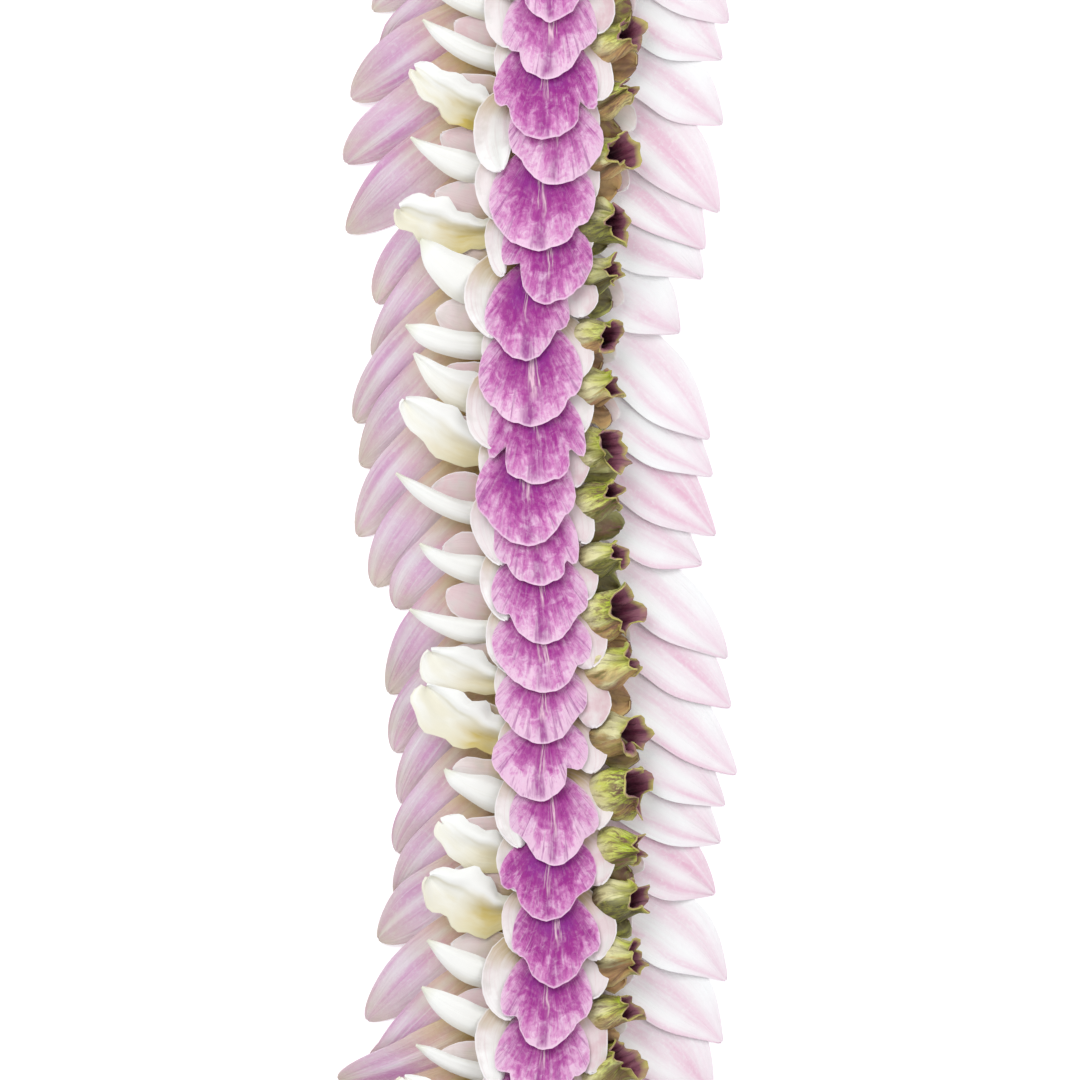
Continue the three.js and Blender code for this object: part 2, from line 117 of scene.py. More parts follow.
# The blossoms of the stretch in view, from its top to its bottom, in mm:
#   banner  tip past the usual length, sideways shift, half width
#   deep    colour of the banner, from 0 pale to 1 deep
#   edge    how far the banner draws in on the left and the right, depth of a notch left and right
#   keel    tip u, tip v, half width, how far it flares from 0 slim to 1 broad
#   lobes   how far each of the two peeps out, left and right, from 0 to 1
#   inner   tip u, tip v
#   mauve   colour of the inner petal, from 0 grey to 1 mauve
#   outer   tip u, tip v
#   cup     u shift, v shift, size, how far its mouth opens
LOOK_KEYS = ("banner", "deep", "edge", "keel", "lobes", "inner", "mauve", "outer", "cup")
LOOK_ROWS = [
    ((1, 0.1, 9.5), 0.4, (0.1, 0.12, 0.05, 0),
     (-1, 25, 3, 0), (1, 1), (26, 39), 0.9, (18, 35), (-1, 0, 0.95, 0.2)),
    ((1.7, -0.1, 10.4), 0.9, (0.1, 0.04, 0.05, 0.16),
     (-0.8, 25.4, 2, 0), (0.3, 0.8), (27.6, 39), 1, (19.6, 36), (-2, 0, 1, 0.5)),
    ((-0.6, 2.8, 9.5), 0.15, (0.1, 0.02, 0, 0),
     (-2.7, 27, 3.2, 1), (1, 0.3), (30, 38), 0.7, (26, 36.5), (-1.5, 0, 0.8, 0)),
    ((1, 0.9, 10.6), 0.55, (0.02, 0.03, 0, 0.05),
     (0, 26.4, 2.2, 0), (0.8, 0.5), (33, 31), 0.8, (22, 34), (-1, 0, 0.9, 0.8)),
    ((0.3, 2.6, 9.2), 0.85, (0.24, 0.01, 0.02, 0),
     (2.6, 28, 3.9, 1), (0.3, 0.2), (33, 31), 0.5, (16.6, 34), (2, 0, 1.1, 0.4)),
    ((0.3, -0.8, 8.5), 0.6, (0.08, 0.15, 0.02, 0),
     (-2.4, 22.8, 4.2, 0), (1, 1), (34, 35), 0.3, (16, 30), (1, -1, 0.9, 0.1)),
    ((1.9, 0.2, 10.4), 0.65, (0.02, 0.05, 0.02, 0.03),
     (3.4, 25, 2.5, 0), (0.1, 0.8), (31, 34.4), 0.5, (26, 36), (1, 1, 0.9, 0.7)),
    ((2, 1.3, 9.6), 0.6, (0.02, 0.02, 0.19, 0.17),
     (-2.4, 23.2, 3.2, 0.2), (0.9, 0.8), (34, 35.6), 0.4, (22, 36.4), (0, 0, 1, 0)),
    ((3, -1.3, 10), 0.55, (0.05, 0.08, 0, 0),
     (-4.8, 25, 3.6, 0.6), (0.4, 0.2), (33, 32.6), 0.6, (22.6, 36.4), (1.5, 1, 1, 0.9)),
    ((-0.5, 0.3, 8.5), 0.45, (0.03, 0.02, 0.04, 0.1),
     (-1.2, 27, 1.9, 0), (0.7, 0.2), (26, 28.4), 0.4, (17, 33.4), (-1.5, 1, 0.95, 0.3)),
    ((-0.1, 0.3, 9.7), 0.5, (0.1, 0.09, 0.05, 0.01),
     (1.5, 23, 2.2, 0), (0.5, 0.8), (31.5, 31.6), 0.5, (24.5, 37), (-0.5, 1, 0.95, 0.2)),
    ((-1.8, 0, 10), 0.4, (0.03, 0.1, 0, 0.04),
     (3.2, 26, 2, 0), (0.4, 0.8), (32, 31), 0.6, (23, 37), (-0.5, 2.5, 1.15, 0.8)),
    ((-3, -1.1, 9.2), 0.2, (0.06, 0.1, 0, 0),
     (-0.2, 22.6, 3.5, 0.6), (0.2, 0.9), (31, 30), 0.7, (25, 37.5), (-1, 4, 1.25, 0.1)),
    ((-2.9, -2.2, 9.6), 0.2, (0.05, 0.13, 0, 0.09),
     (-4.6, 24, 4.5, 0.9), (0.2, 0.6), (29.4, 31), 0.5, (20, 35), (1, 2.5, 1.15, 0.6)),
    ((-1.5, 0.6, 9), 0.08, (0.12, 0.12, 0, 0),
     (1, 21, 2.8, 0), (0.4, 0.5), (27, 31), 0.4, (16, 34), (0, 5, 1.4, 0.8)),
    ((-1.8, -0.7, 9.7), 0.85, (0.13, 0.12, 0.06, 0.03),
     (-0.2, 22.4, 3.8, 0.6), (0.3, 0.9), (24, 34.4), 0.3, (15, 33), (2, 3, 1.05, 0.1)),
    ((-0.1, 1.4, 8.9), 0.95, (0.13, 0.14, 0.01, 0),
     (-0.6, 24.6, 4.4, 0.9), (0.1, 0.9), (29, 35.6), 0.4, (21, 36), (-1, 4, 1.1, 0.5)),
    ((1, 0.1, 9.2), 0.5, (0.15, 0.1, 0.05, 0),
     (1, 24.4, 2.5, 0), (1, 0.8), (30, 34), 0.5, (22, 36), (0, 3, 1.1, 0.2)),
]
LOOKS = [dict(zip(LOOK_KEYS, row)) for row in LOOK_ROWS]
FIRST_LOOK = 10


def look(i):
    return LOOKS[(i - FIRST_LOOK) % len(LOOKS)]


def start(i):
    return i * PITCH + ROOT_SHIFT


def draw(blossom, use):
    """A number from -1 to 1 that is always the same for a blossom and a use of it."""
    x = math.sin(blossom * 12.9898 + use * 78.233) * 43758.5453
    return 2 * (x - math.floor(x)) - 1


def loop_frame(s):
    """Point on the loop and outward direction, with s from the middle of the +Y end."""
    at = np.mod(s, ROUND)
    far = at >= ROUND / 2
    turn = np.where(far, at - ROUND / 2, at)
    quarter = math.pi * BEND_R / 2
    angle = np.where(
        turn < quarter,
        turn / BEND_R,
        np.where(turn < quarter + STRAIGHT, math.pi / 2, math.pi / 2 + (turn - quarter - STRAIGHT) / BEND_R),
    )
    middle = STRAIGHT / 2 - np.clip(turn - quarter, 0, STRAIGHT)
    ox, oy = np.sin(angle), np.cos(angle)
    x, y = BEND_R * ox, BEND_R * oy + middle
    sign = np.where(far, -1.0, 1.0)
    return sign * x, sign * y, sign * ox, sign * oy


def place(s, v, w):
    """Strand coordinates to the part's frame, in mm."""
    x, y, ox, oy = loop_frame(s)
    aside = v + WANDER * np.cos(2 * math.pi * WANDER_WAVES * (s - WANDER_PEAK) / ROUND)
    return np.stack([x + aside * ox, y + aside * oy, w + 0 * s], -1)


def smooth(points, x):
    """A soft curve through [x, y] points: straight lines between them, averaged over a short width."""
    xs, ys = zip(*points)
    return sum(np.interp(x + d, xs, ys) for d in (-1.2, -0.6, 0, 0.6, 1.2)) / 5


def curve(points, x):
    """A curve that passes each [x, y] point, with slopes from its neighbours."""
    xs, ys = np.array(points, float).T
    slopes = np.gradient(ys, xs)
    k = np.clip(np.searchsorted(xs, x) - 1, 0, len(xs) - 2)
    h = xs[k + 1] - xs[k]
    t = np.clip((x - xs[k]) / h, 0, 1)
    return (
        (2 * t**3 - 3 * t**2 + 1) * ys[k]
        + (t**3 - 2 * t**2 + t) * h * slopes[k]
        + (3 * t**2 - 2 * t**3) * ys[k + 1]
        + (t**3 - t**2) * h * slopes[k + 1]
    )


def hump(x, at, width):
    """1 where x is at, falling to nothing over width on both sides."""
    return np.exp(-(((x - at) / width) ** 2))


def climb(x, lo, width):
    """0 up to lo, then straight up to 1 over width."""
    return np.clip((x - lo) / width, 0, 1)


def ease(x):
    """A climb with soft ends."""
    return x**2 * (3 - 2 * x)


def roof(top, u, v):
    """Height of a row of petals that rises toward the tips and falls to both sides."""
    return top + BANNER_RISE * u - ROOF * (np.sqrt(v**2 + 6) - 2.4)


def stack(*values):
    return np.stack(np.broadcast_arrays(*values), -1)


def unit(vectors):
    return vectors / np.linalg.norm(vectors, axis=-1, keepdims=True)


def angles(sides):
    return np.linspace(0, 2 * math.pi, sides + 1)[:-1][None]


def spokes(side, ahead, phi):
    """Directions round a line that runs ahead, turned by phi from side."""
    up = np.cross(side, ahead)
    return np.cos(phi)[..., None] * side[:, None] + np.sin(phi)[..., None] * up[:, None]


# Meshes
def quads(grid):
    """The four corners of each cell of a grid of point numbers."""
    return np.stack([grid[:-1, :-1], grid[1:, :-1], grid[1:, 1:], grid[:-1, 1:]], -1).reshape(-1, 4)


def joined(grid):
    """The grid with its first column again at its end, so that it closes round."""
    return np.concatenate([grid, grid[:, :1]], 1)


class Piece:
    """Gathers closed shells and solids and makes one object of them."""

    def __init__(self):
        self.points, self.faces, self.petal, self.fan, self.count = [], [], [], [], 0

    def shell(self, p, petal, fan, thickness, wrap=False):
        """A thin closed shell round an (n, m, 3) grid. thickness is one number or an (n, m) grid, petal and
        fan three values for each point. The last of fan becomes 0 on the upper side and 1 on the lower."""
        n, m = p.shape[:2]
        size = n * m
        along = np.gradient(p, axis=0)
        across = (np.roll(p, -1, 1) - np.roll(p, 1, 1)) / 2 if wrap else np.gradient(p, axis=1)
        normal = np.cross(along, across)
        normal /= np.maximum(np.linalg.norm(normal, axis=-1, keepdims=True), 1e-9)
        half = np.broadcast_to(thickness, (n, m))[..., None] / 2
        grid = np.arange(size).reshape(n, m) + self.count
        if wrap:
            grid = joined(grid)
        edges = [grid[0, :], grid[-1, ::-1]]
        if not wrap:
            edges += [grid[::-1, 0], grid[:, -1]]
        rims = [np.stack([e[:-1], e[1:], e[1:] + size, e[:-1] + size], -1) for e in edges]
        self.points += [(p + normal * half).reshape(-1, 3), (p - normal * half).reshape(-1, 3)]
        self.faces += [quads(grid), quads(grid)[:, ::-1] + size, *rims]
        for side in (0, 1):
            sided = np.array(np.broadcast_to(fan, (n, m, 3)), float)
            sided[..., 2] = side
            self.fan.append(sided.reshape(-1, 3))
            self.petal.append(np.broadcast_to(petal, (n, m, 3)).reshape(-1, 3))
        self.count += 2 * size

    def rod(self, p, petal):
        """A closed solid from an (n, m, 3) grid of rings, with its ends filled."""
        n, m = p.shape[:2]
        size = n * m
        grid = joined(np.arange(size).reshape(n, m) + self.count)
        self.faces.append(quads(grid))
        for ring, tip in ((grid[0], self.count + size), (grid[-1, ::-1], self.count + size + 1)):
            self.faces.append(np.stack([ring[:-1], ring[1:], np.full(m, tip)], -1))
        self.points += [p.reshape(-1, 3), p[0].mean(0)[None], p[-1].mean(0)[None]]
        self.petal.append(np.broadcast_to(petal, (size + 2, 3)))
        self.fan.append(np.zeros((size + 2, 3)))
        self.count += size + 2

    def hoop(self, p):
        """A closed loop from an (n, m, 3) grid of rings, the last of which meets the first."""
        n, m = p.shape[:2]
        grid = joined(np.arange(n * m).reshape(n, m) + self.count)
        grid = np.concatenate([grid, grid[:1]])
        self.faces.append(quads(grid)[:, ::-1])
        self.points.append(p.reshape(-1, 3))
        self.petal.append(np.zeros((n * m, 3)))
        self.fan.append(np.zeros((n * m, 3)))
        self.count += n * m

    def make(self, name, materials, shift, pick):
        """The object. pick is the place in materials for each group of faces."""
        points = (np.concatenate(self.points) + shift) * MM
        faces = [tuple(map(int, f)) for group in self.faces for f in group]
        mesh = bpy.data.meshes.new(name)
        mesh.from_pydata([tuple(q) for q in points], [], faces)
        mesh.update()
        for key, values in (("petal", self.petal), ("fan", self.fan)):
            layer = mesh.attributes.new(key, "FLOAT_VECTOR", "POINT")
            layer.data.foreach_set("vector", np.concatenate(values).astype(np.float32).ravel())
        mesh.shade_smooth()
        mesh.set_sharp_from_angle(angle=math.radians(55))
        for m in materials:
            mesh.materials.append(m)
        slots = np.concatenate([np.full(len(g), k) for g, k in zip(self.faces, pick)])
        mesh.polygons.foreach_set("material_index", slots.astype(np.int32))
        obj = bpy.data.objects.new(name, mesh)
        bpy.context.scene.collection.objects.link(obj)
        return obj


def leaf(spine, profile, grid, end, wave, skew, dent=0.0):
    """Grid of a petal: u, v, part of the length a, place across b from -1 to 1, and half width.

    spine is the root, knee and tip of its middle line. end is the power that rounds its end, and where that
    starts. wave is (depth, blossom, use) of an uneven edge, and the share of ragged waves where it has some.
    skew moves one side of the end forward, dent its middle back."""
    n, m = grid
    blunt, round_from = end
    depth, i, use, ragged = (*wave, 0.0)[:4]
    root, knee, tip = (np.array(q, float) for q in spine)
    a = 1 - (1 - np.linspace(0, 1, n)) ** 1.5
    a[-1] = 0.999
    b = np.linspace(-1, 1, m)
    centre = np.outer((1 - a) ** 2, root) + np.outer(2 * a * (1 - a), knee) + np.outer(a**2, tip)
    ahead = unit(np.outer(2 * (1 - a), knee - root) + np.outer(2 * a, tip - knee))
    half = np.maximum(curve(profile, a) * (1 - climb(a, round_from, 1 - round_from) ** 2.2) ** blunt, 0.05)

    # The uneven edge, each side its own
    near = np.sin(6 * a + 3 * draw(i, use)) + 0.6 * np.sin(13 * a + 3 * draw(i, use + 1))
    far = np.sin(7 * a + 3 * draw(i, use + 2)) + 0.6 * np.sin(12 * a + 3 * draw(i, use + 3))
    near += ragged * np.sin(29 * a + 3 * draw(i, use + 2))
    far += ragged * np.sin(34 * a + 3 * draw(i, use))
    reach = half[:, None] * b * (1 + depth * np.where(b > 0, far[:, None], near[:, None]))

    # The end moved along the petal
    slide = skew * b * half[:, None] / half.max() * a[:, None] ** 2
    slide -= dent * hump(b, 0.1, 0.5) * a[:, None] ** 6
    u = centre[:, :1] - ahead[:, 1:] * reach + ahead[:, :1] * slide
    v = centre[:, 1:] + ahead[:, :1] * reach + ahead[:, 1:] * slide
    return u, v, np.repeat(a[:, None], m, 1), np.repeat(b[None], n, 0), half[:, None] * np.ones(m)


# Banner petals: rays from the claw to the edge, so that the veins fan out with the mesh
BANNER_ARC = 0.66  # share of the rays that ends on the lower arc


def add_banner(piece, i):
    past, shift, half = look(i)["banner"]
    edge = look(i)["edge"]
    rings, rays = BANNER_GRID
    x = np.linspace(-1, 1, rays)
    phi = np.sign(x) * np.abs(x) ** 1.15
    far, side = np.abs(phi), np.sign(phi)

    # Outline: the lower arc, then back to the claw on both sides
    length = BANNER_LENGTH + past
    round_u = length - 0.93 * half
    turn = np.minimum(far / BANNER_ARC, 1) * math.pi / 2
    back = climb(far, BANNER_ARC, 1 - BANNER_ARC)
    full = 0.86 + 0.07 * draw(i, 20)
    flank = half * (0.06 + 0.94 * np.cos(back * math.pi / 2) ** 0.6)
    arc_u = round_u + (length - round_u) * np.cos(turn)
    edge_u = np.where(back > 0, round_u * (1 - back) + 1.3 * back, arc_u)
    edge_v = side * np.where(back > 0, flank, half * np.sin(turn) ** full)

    # Edge: drawn in, notched, torn a little and with a short point in the middle
    cut = np.zeros_like(phi)
    for k, way in enumerate((-1, 1)):
        draw_in, depth = edge[k] + 0.015 * draw(i, 36), edge[k + 2]
        at = 0.34 + 0.04 * draw(i, 23 + k)
        own = side == way
        cut += own * draw_in * hump(far, 0.36, 0.18)
        cut += own * depth * (hump(far, at, 0.06) - 0.3 * hump(far - at, 0.16, 0.09))
    torn = 0.006 + 0.02 * max(edge)
    rough = torn * (0.6 * np.sin(31 * phi + 3 * draw(i, 25)) + 0.5 * np.sin(57 * phi + 5 * draw(i, 26)))
    grow = 1 + 0.02 * hump(phi, 0, 0.06) + rough - cut
    r = (1 - (1 - np.linspace(0.05, 1, rings)) ** 1.3)[:, None]
    reach = r * (1 + (grow - 1) * r**2)
    u = 0.4 + edge_u * reach
    v = edge_v * reach + shift * ease(climb(u, 0, 13))

    # Height: a roof with a crease along its middle, arched, with its edge down, then ripples
    w = roof(BANNER_W, u, v)
    w -= 0.45 * hump(phi, 0, 0.05) * r * (1.1 - r)
    w += 0.6 * np.sin(math.pi * r) * (1 - phi**2)
    w -= 0.7 * r**5 * (1 - 0.4 * phi**2)
    w += (0.13 * np.sin(17 * phi + 4 * draw(i, 27)) + 0.09 * np.sin(29 * phi + 5 * draw(i, 28))) * r**1.5
    w += (0.3 * np.sin(10 * phi + 4 * draw(i, 29)) + 0.1 * np.sin(24 * phi + 6 * draw(i, 30))) * r**5
    for k, way in enumerate((-1, 1)):
        w += (side == way) * 0.7 * draw(i, 31 + k) * r**6 * hump(far, 0.5, 0.22)
    w += 0.16 * np.sin(u * 0.55 + 3 * draw(i, 33)) * np.sin(v * 0.5 + 3 * draw(i, 34)) * r
    w = np.maximum(w * np.minimum(1, 0.93 + r), BANNER_LOWEST)
    who = 0.1 + 0.8 * look(i)["deep"] + 0.1 * draw(i, 35)
    piece.shell(place(start(i) + u, v, w), stack(r, phi, who), stack(u, v, 0), PETAL_T)


# Small petals. side is -1 for the one on the inside of the loop and 1 for the one on its outside.
LOBE_PROFILE = [(0, 0.7), (0.18, 2.2), (0.4, 3.6), (0.62, 4.1), (0.8, 3.9), (1, 3.1)]
WING_PROFILE = [(0, 0.8), (0.3, 2.6), (0.6, 4.0), (0.85, 3.6), (1, 2.6)]


def add_lobe(piece, i, side):
    """A pale petal under the banner."""
    far = draw(i, 2 + side)
    out = look(i)["lobes"][(side + 1) // 2]
    size = 0.78 + 0.16 * out + 0.08 * draw(i, 98 + side)
    if side < 0:
        knee = (2.6 + far, -10.6 - 4.4 * out)
        tip = (13.6 + 1.6 * far + 4.2 * out, -5.4 - 1.6 * out - 0.7 * draw(i, 5))
        size -= 0.05 + 0.22 * (1 - out)
    else:
        knee = (3.4 + far, 9.4 + out)
        tip = (14.4 + 2 * far, 8.2 + 1.6 * out + 0.5 * draw(i, 7))
    profile = np.array(LOBE_PROFILE) * (1, size)
    wave, skew = (0.09, i, 92 + 4 * side), 2.4 * draw(i, 85 + side)
    u, v, a, b, _ = leaf([(1.0, side * 0.3), knee, tip], profile, LOBE_GRID, (0.5, 0.8), wave, skew)
    w = roof(BANNER_W - LOBE_DROP, u, v)
    w += 0.65 * (1 - b**2) * np.sin(math.pi * a)
    w -= 0.7 * climb(np.abs(v), 10, 3) ** 2
    w = LOBE_ROOT_W + (w - LOBE_ROOT_W) * climb(a, 0, 0.3) ** 0.8
    w += 0.26 * np.sin(5 * a + 4 * b + 3 * draw(i, 37 + side)) * a
    w += 0.5 * (side * b) ** 3 * a**2
    who = 0.5 + 0.25 * side + 0.25 * draw(i, 40 + side)
    piece.shell(place(start(i) + u, v, w), stack(a, b, who), stack(u, v, 0), PETAL_T)


def add_wing(piece, i, side):
    """A blush petal low between the others."""
    if side < 0:
        spine = [(3, -2), (3.6, -11), (0.5 + 2 * draw(i, 8), -19.5 - 1.2 * draw(i, 9))]
        level, slope = 8.0, -0.1
    else:
        spine = [(3, 1.6), (6, 11), (9 + 2 * draw(i, 10), 17.2 + 1.6 * draw(i, 11))]
        level, slope = 5.8, 0.06
    wave, skew = (0.1, i, 104 + 4 * side), 1.6 * draw(i, 112 + side)
    u, v, a, b, _ = leaf(spine, WING_PROFILE, WING_GRID, (0.55, 0.7), wave, skew)
    w = level + slope * (u - 3)
    w += 0.32 * (1 - b**2) * np.sin(math.pi * a)
    w += 0.18 * np.sin(4 * a + 2 * b + i)
    who = 0.5 + 0.5 * draw(i, 44 + side)
    piece.shell(place(start(i) + u, v, w), stack(a, b, who), stack(u, v, 0), PETAL_T)


def add_lobes(piece, i):
    for side in (-1, 1):
        add_lobe(piece, i, side)


def add_wings(piece, i):
    for side in (-1, 1):
        add_wing(piece, i, side)


# Keels: half width at the root, then its share of the keel's own along it
KEEL_ROOT_HALF = 0.8
SLIM_KEEL = [(0.22, 0.7), (0.42, 1.08), (0.6, 1.1), (0.8, 0.8), (1, 0.25)]
BROAD_KEEL = [(0.25, 0.5), (0.42, 0.84), (0.58, 1.12), (0.74, 1.27), (0.88, 1.25), (1, 1.05)]


def add_keel(piece, i):
    tip_u, tip_v, half, broad = look(i)["keel"]
    shares = SLIM_KEEL if broad < 0.5 else BROAD_KEEL
    profile = [(0, KEEL_ROOT_HALF)] + [(at, share * half) for at, share in shares]
    spine = [(5, -0.2), (11 + 1.5 * draw(i, 53), -12), (tip_u, -tip_v)]
    wave = (0.13 + 0.06 * broad, i, 114, 0.7 * broad)
    skew = 1.3 * broad + 1.5 * draw(i, 118)
    dent = broad * (1.2 + 0.8 * draw(i, 122))
    u, v, a, b, _ = leaf(spine, profile, KEEL_GRID, (0.8 - 0.36 * broad, 0.86), wave, skew, dent)
    rise = np.sin(math.pi * (0.97 * a))
    w = smooth(KEEL_HEIGHT, np.abs(v)) - 0.1 * (u - 5)

    # A slim one is a rounded boat, a broad one has a ridge, a trough and a flared end
    w += 0.9 * (1 - broad) * (1 - np.abs(b) ** 1.8) * rise**0.6
    w += (0.5 + 0.7 * broad) * hump(b, -0.55, 0.3) * rise**0.5
    w -= (1.16 + 0.08 * half) * broad * hump(b, 0.2, 0.45) * rise**0.8
    w += broad * climb(a, 0.7, 0.3) ** 2 * (0.5 + 0.8 * np.sin(4 * b + 3 * draw(i, 50)))
    w -= broad * 0.9 * climb(a, 0.86, 0.14) ** 2
    w -= 0.8 * (1 - broad) * climb(b, 0.4, 0.6) ** 2 * rise

    # Ripples, strongest along a broad one's edges
    w += (0.13 + 0.15 * broad) * np.sin(9 * a + 2 * b + 3 * draw(i, 51)) * rise
    w += 0.17 * broad * np.sin(15 * a - 6 * b + 3 * draw(i, 123)) * rise
    w += 0.5 * broad * np.sin(14 * a + 3 * draw(i, 124)) * np.clip(np.abs(b) - 0.3, 0, 1) ** 1.5 * rise
    w = KEEL_ROOT_W + (w - KEEL_ROOT_W) * climb(a, 0, 0.2)
    who = 0.5 + 0.5 * draw(i, 52)
    piece.shell(place(start(i) + u, v, w), stack(a, b, who), stack(broad, v, 0), KEEL_T)


# Long petals of the lowest layer
INNER_PROFILE = [(0, 0.9), (0.2, 3.2), (0.42, 5.2), (0.64, 6.2), (0.8, 6.1), (1, 5.2)]
OUTER_PROFILE = [(0, 0.9), (0.15, 3.8), (0.35, 6.3), (0.6, 7.4), (0.8, 6.6), (1, 3.6)]
LONG_LENGTH = 40  # about their length, for the pattern along them


def add_long(piece, i, side, knee, tip, profile, end, height, slant, use, who):
    wave, skew = (0.05, i, use + 60), 3.0 * draw(i, use + 64)
    spine = [(0, side * LONG_ROOT_V), knee, tip]
    u, v, a, b, half = leaf(spine, profile, LONG_GRID, end, wave, skew)
    step, far = side * LONG_STEP, np.abs(v)
    w = smooth(height, far) - step * slant * far + step * u

    # Arched, with a middle ridge and a groove on both sides of it, and waved edges
    body = np.sin(math.pi * a)
    w += 0.4 * (1 - b**2) * body
    w += 0.28 * hump(b, 0.2 * draw(i, use + 3), 0.16) * body
    w -= 0.16 * hump(np.abs(b), 0.45, 0.12) * body
    waves = np.sin(7 * a + 4 * draw(i, use)) * 0.26 * b + np.sin(13 * a + 4 * draw(i, use + 1)) * 0.14 * b**3
    w += waves * np.clip(3 * a, 0, 1)
    w = LONG_ROOT_W + (w - LONG_ROOT_W) * climb(a, 0, 0.12)
    w = np.maximum(w, LONG_LOWEST + 0.12 * (1 - b**2) * (1 + np.sin(9 * b + use)))
    piece.shell(place(start(i) + u, v, w), stack(a, b, who), stack(half * b, a * LONG_LENGTH, 0), PETAL_T)


def add_inner(piece, i):
    """The lavender petal on the inside of the loop, the white petal's kind with its colours darkened by
    painted shade.
    """
    tip_u, tip_v = look(i)["inner"]
    who = 0.1 + 0.8 * look(i)["mauve"] + 0.1 * draw(i, 53)
    knee, tip, end = (9, -0.45 * tip_v), (tip_u, -tip_v), (0.58, 0.74)
    add_long(piece, i, -1, knee, tip, INNER_PROFILE, end, INNER_HEIGHT, INNER_SLANT, 51, who)


def add_outer(piece, i):
    """The white petal on the outside of the loop."""
    tip_u, tip_v = look(i)["outer"]
    who = 0.5 + 0.5 * draw(i, 63)
    knee, tip, end = (3.5, 0.5 * tip_v), (tip_u, tip_v), (0.62, 0.7)
    add_long(piece, i, 1, knee, tip, OUTER_PROFILE, end, OUTER_HEIGHT, OUTER_SLANT, 61, who)


# Calyx cups
CUP_ROOT = np.array([6, 1.45, 8.5])
CUP_BEND = np.array([5.8, 9.6, 8.9])
CUP_MOUTH = np.array([3.7, 16.4, 11.9])
CUP_RADIUS = [
    (0, 0.95), (0.28, 1.15), (0.4, 2.1), (0.52, 3.1), (0.68, 3.7), (0.82, 3.4), (0.91, 3.1), (1, 3.3),
]
CUP_SCALE = 1.12
LIP_PROFILE = [(0, 0.8), (0.3, 2.2), (0.6, 3.3), (0.85, 3.7), (1, 3.3)]


def add_bell(piece, i, who):
    """A crumpled bell: a hood over a dark mouth, and a lower lip that folds out."""
    du, dv, size, opening = look(i)["cup"]
    mouth = CUP_MOUTH + (du + 0.9 * draw(i, 67), 0.4 * dv, 0.8 * draw(i, 68))
    flap = 0.5 + 0.5 * draw(i, 79)
    rings, sides = CUP_GRID
    t = np.linspace(0, 1, rings)[:, None]
    phi = angles(sides)

    # Middle line, and the directions of its rings
    middle = (1 - t) ** 2 * CUP_ROOT + 2 * t * (1 - t) * CUP_BEND + t**2 * mouth
    ahead = unit(2 * (1 - t) * (CUP_BEND - CUP_ROOT) + 2 * t * (mouth - CUP_BEND))
    side = unit(np.array([1, 0, 0]) - ahead * ahead[:, :1])
    late = climb(t, 0.4, 0.6)
    above = np.sin(phi - 1.1 * draw(i, 71))
    low = np.clip(-above, 0, 1)

    # Radius: frilled, creased and crumpled, no wider below, where the petals lie
    frill = 0.22 * np.cos(4 * phi + 3 * draw(i, 72)) + 0.2 * np.cos(3 * phi + 3 * draw(i, 73))
    frill += 0.12 * np.cos(7 * phi + 5 * draw(i, 74))
    body = 0.1 * np.cos(2 * phi + 3 * draw(i, 80)) + 0.08 * np.cos(3 * phi + 3 * draw(i, 76))
    size += (min(size, 1.0) - size) * low
    plain = curve(CUP_RADIUS, t) * CUP_SCALE * size
    radius = plain * (1 + body * np.minimum(4 * late, 1) * 0.9 + frill * late**3)
    for k in range(3):
        crease = np.angle(np.exp(1j * (phi - 1.3 * k - 0.4 - 1.1 * draw(i, 81 + 20 * k))))
        radius *= 1 - 0.3 * hump(crease, 0, 0.24) * late * (1.3 - late)
    crumple = 0.22 * np.sin(2 * phi + 9 * t + 3 * draw(i, 69))
    crumple += 0.16 * np.sin(5 * phi - 15 * t + 3 * draw(i, 70))
    radius += size * late * (1.3 - late) * (2.1 * crumple + 0.2 * np.sin(9 * phi + 22 * t))
    # How far the wall is dented in, which the material paints as shade, and as highlight where it bulges
    dent = 1 - radius / plain

    # Mouth: drawn shut, its lower lip and its rim rolled out
    shut = ease(climb(t, 0.66, 0.34))
    radius *= 1 - (0.5 - 0.45 * opening) * shut * (1 - 0.8 * flap * low)
    radius += (0.5 + 0.9 * flap) * size * low * late**5
    roll = climb(t, 0.9, 0.1)
    radius += 0.6 * roll**1.5 * size * np.clip(above + 0.4, 0, 1)
    forward = (1.5 - 3.0 * opening) * np.clip(above, -0.3, 1) * late**2 + 1.7 * flap * low * late**3
    forward += 0.8 * np.cos(3 * phi + 3 * draw(i, 77)) * late**4
    forward += 0.5 * np.cos(7 * phi + 3 * draw(i, 82)) * late**6
    forward -= 0.8 * roll**2 * np.clip(above + 0.5, 0, 1)

    q = middle[:, None] + spokes(side, ahead, phi) * radius[..., None] + ahead[:, None] * forward[..., None]
    p = place(start(i) + q[..., 0], q[..., 1], q[..., 2])
    wall = CUP_T * (1 - 0.35 * late)
    piece.shell(p, stack(t, np.cos(phi), who), stack(np.sin(phi), dent, 0), wall, wrap=True)


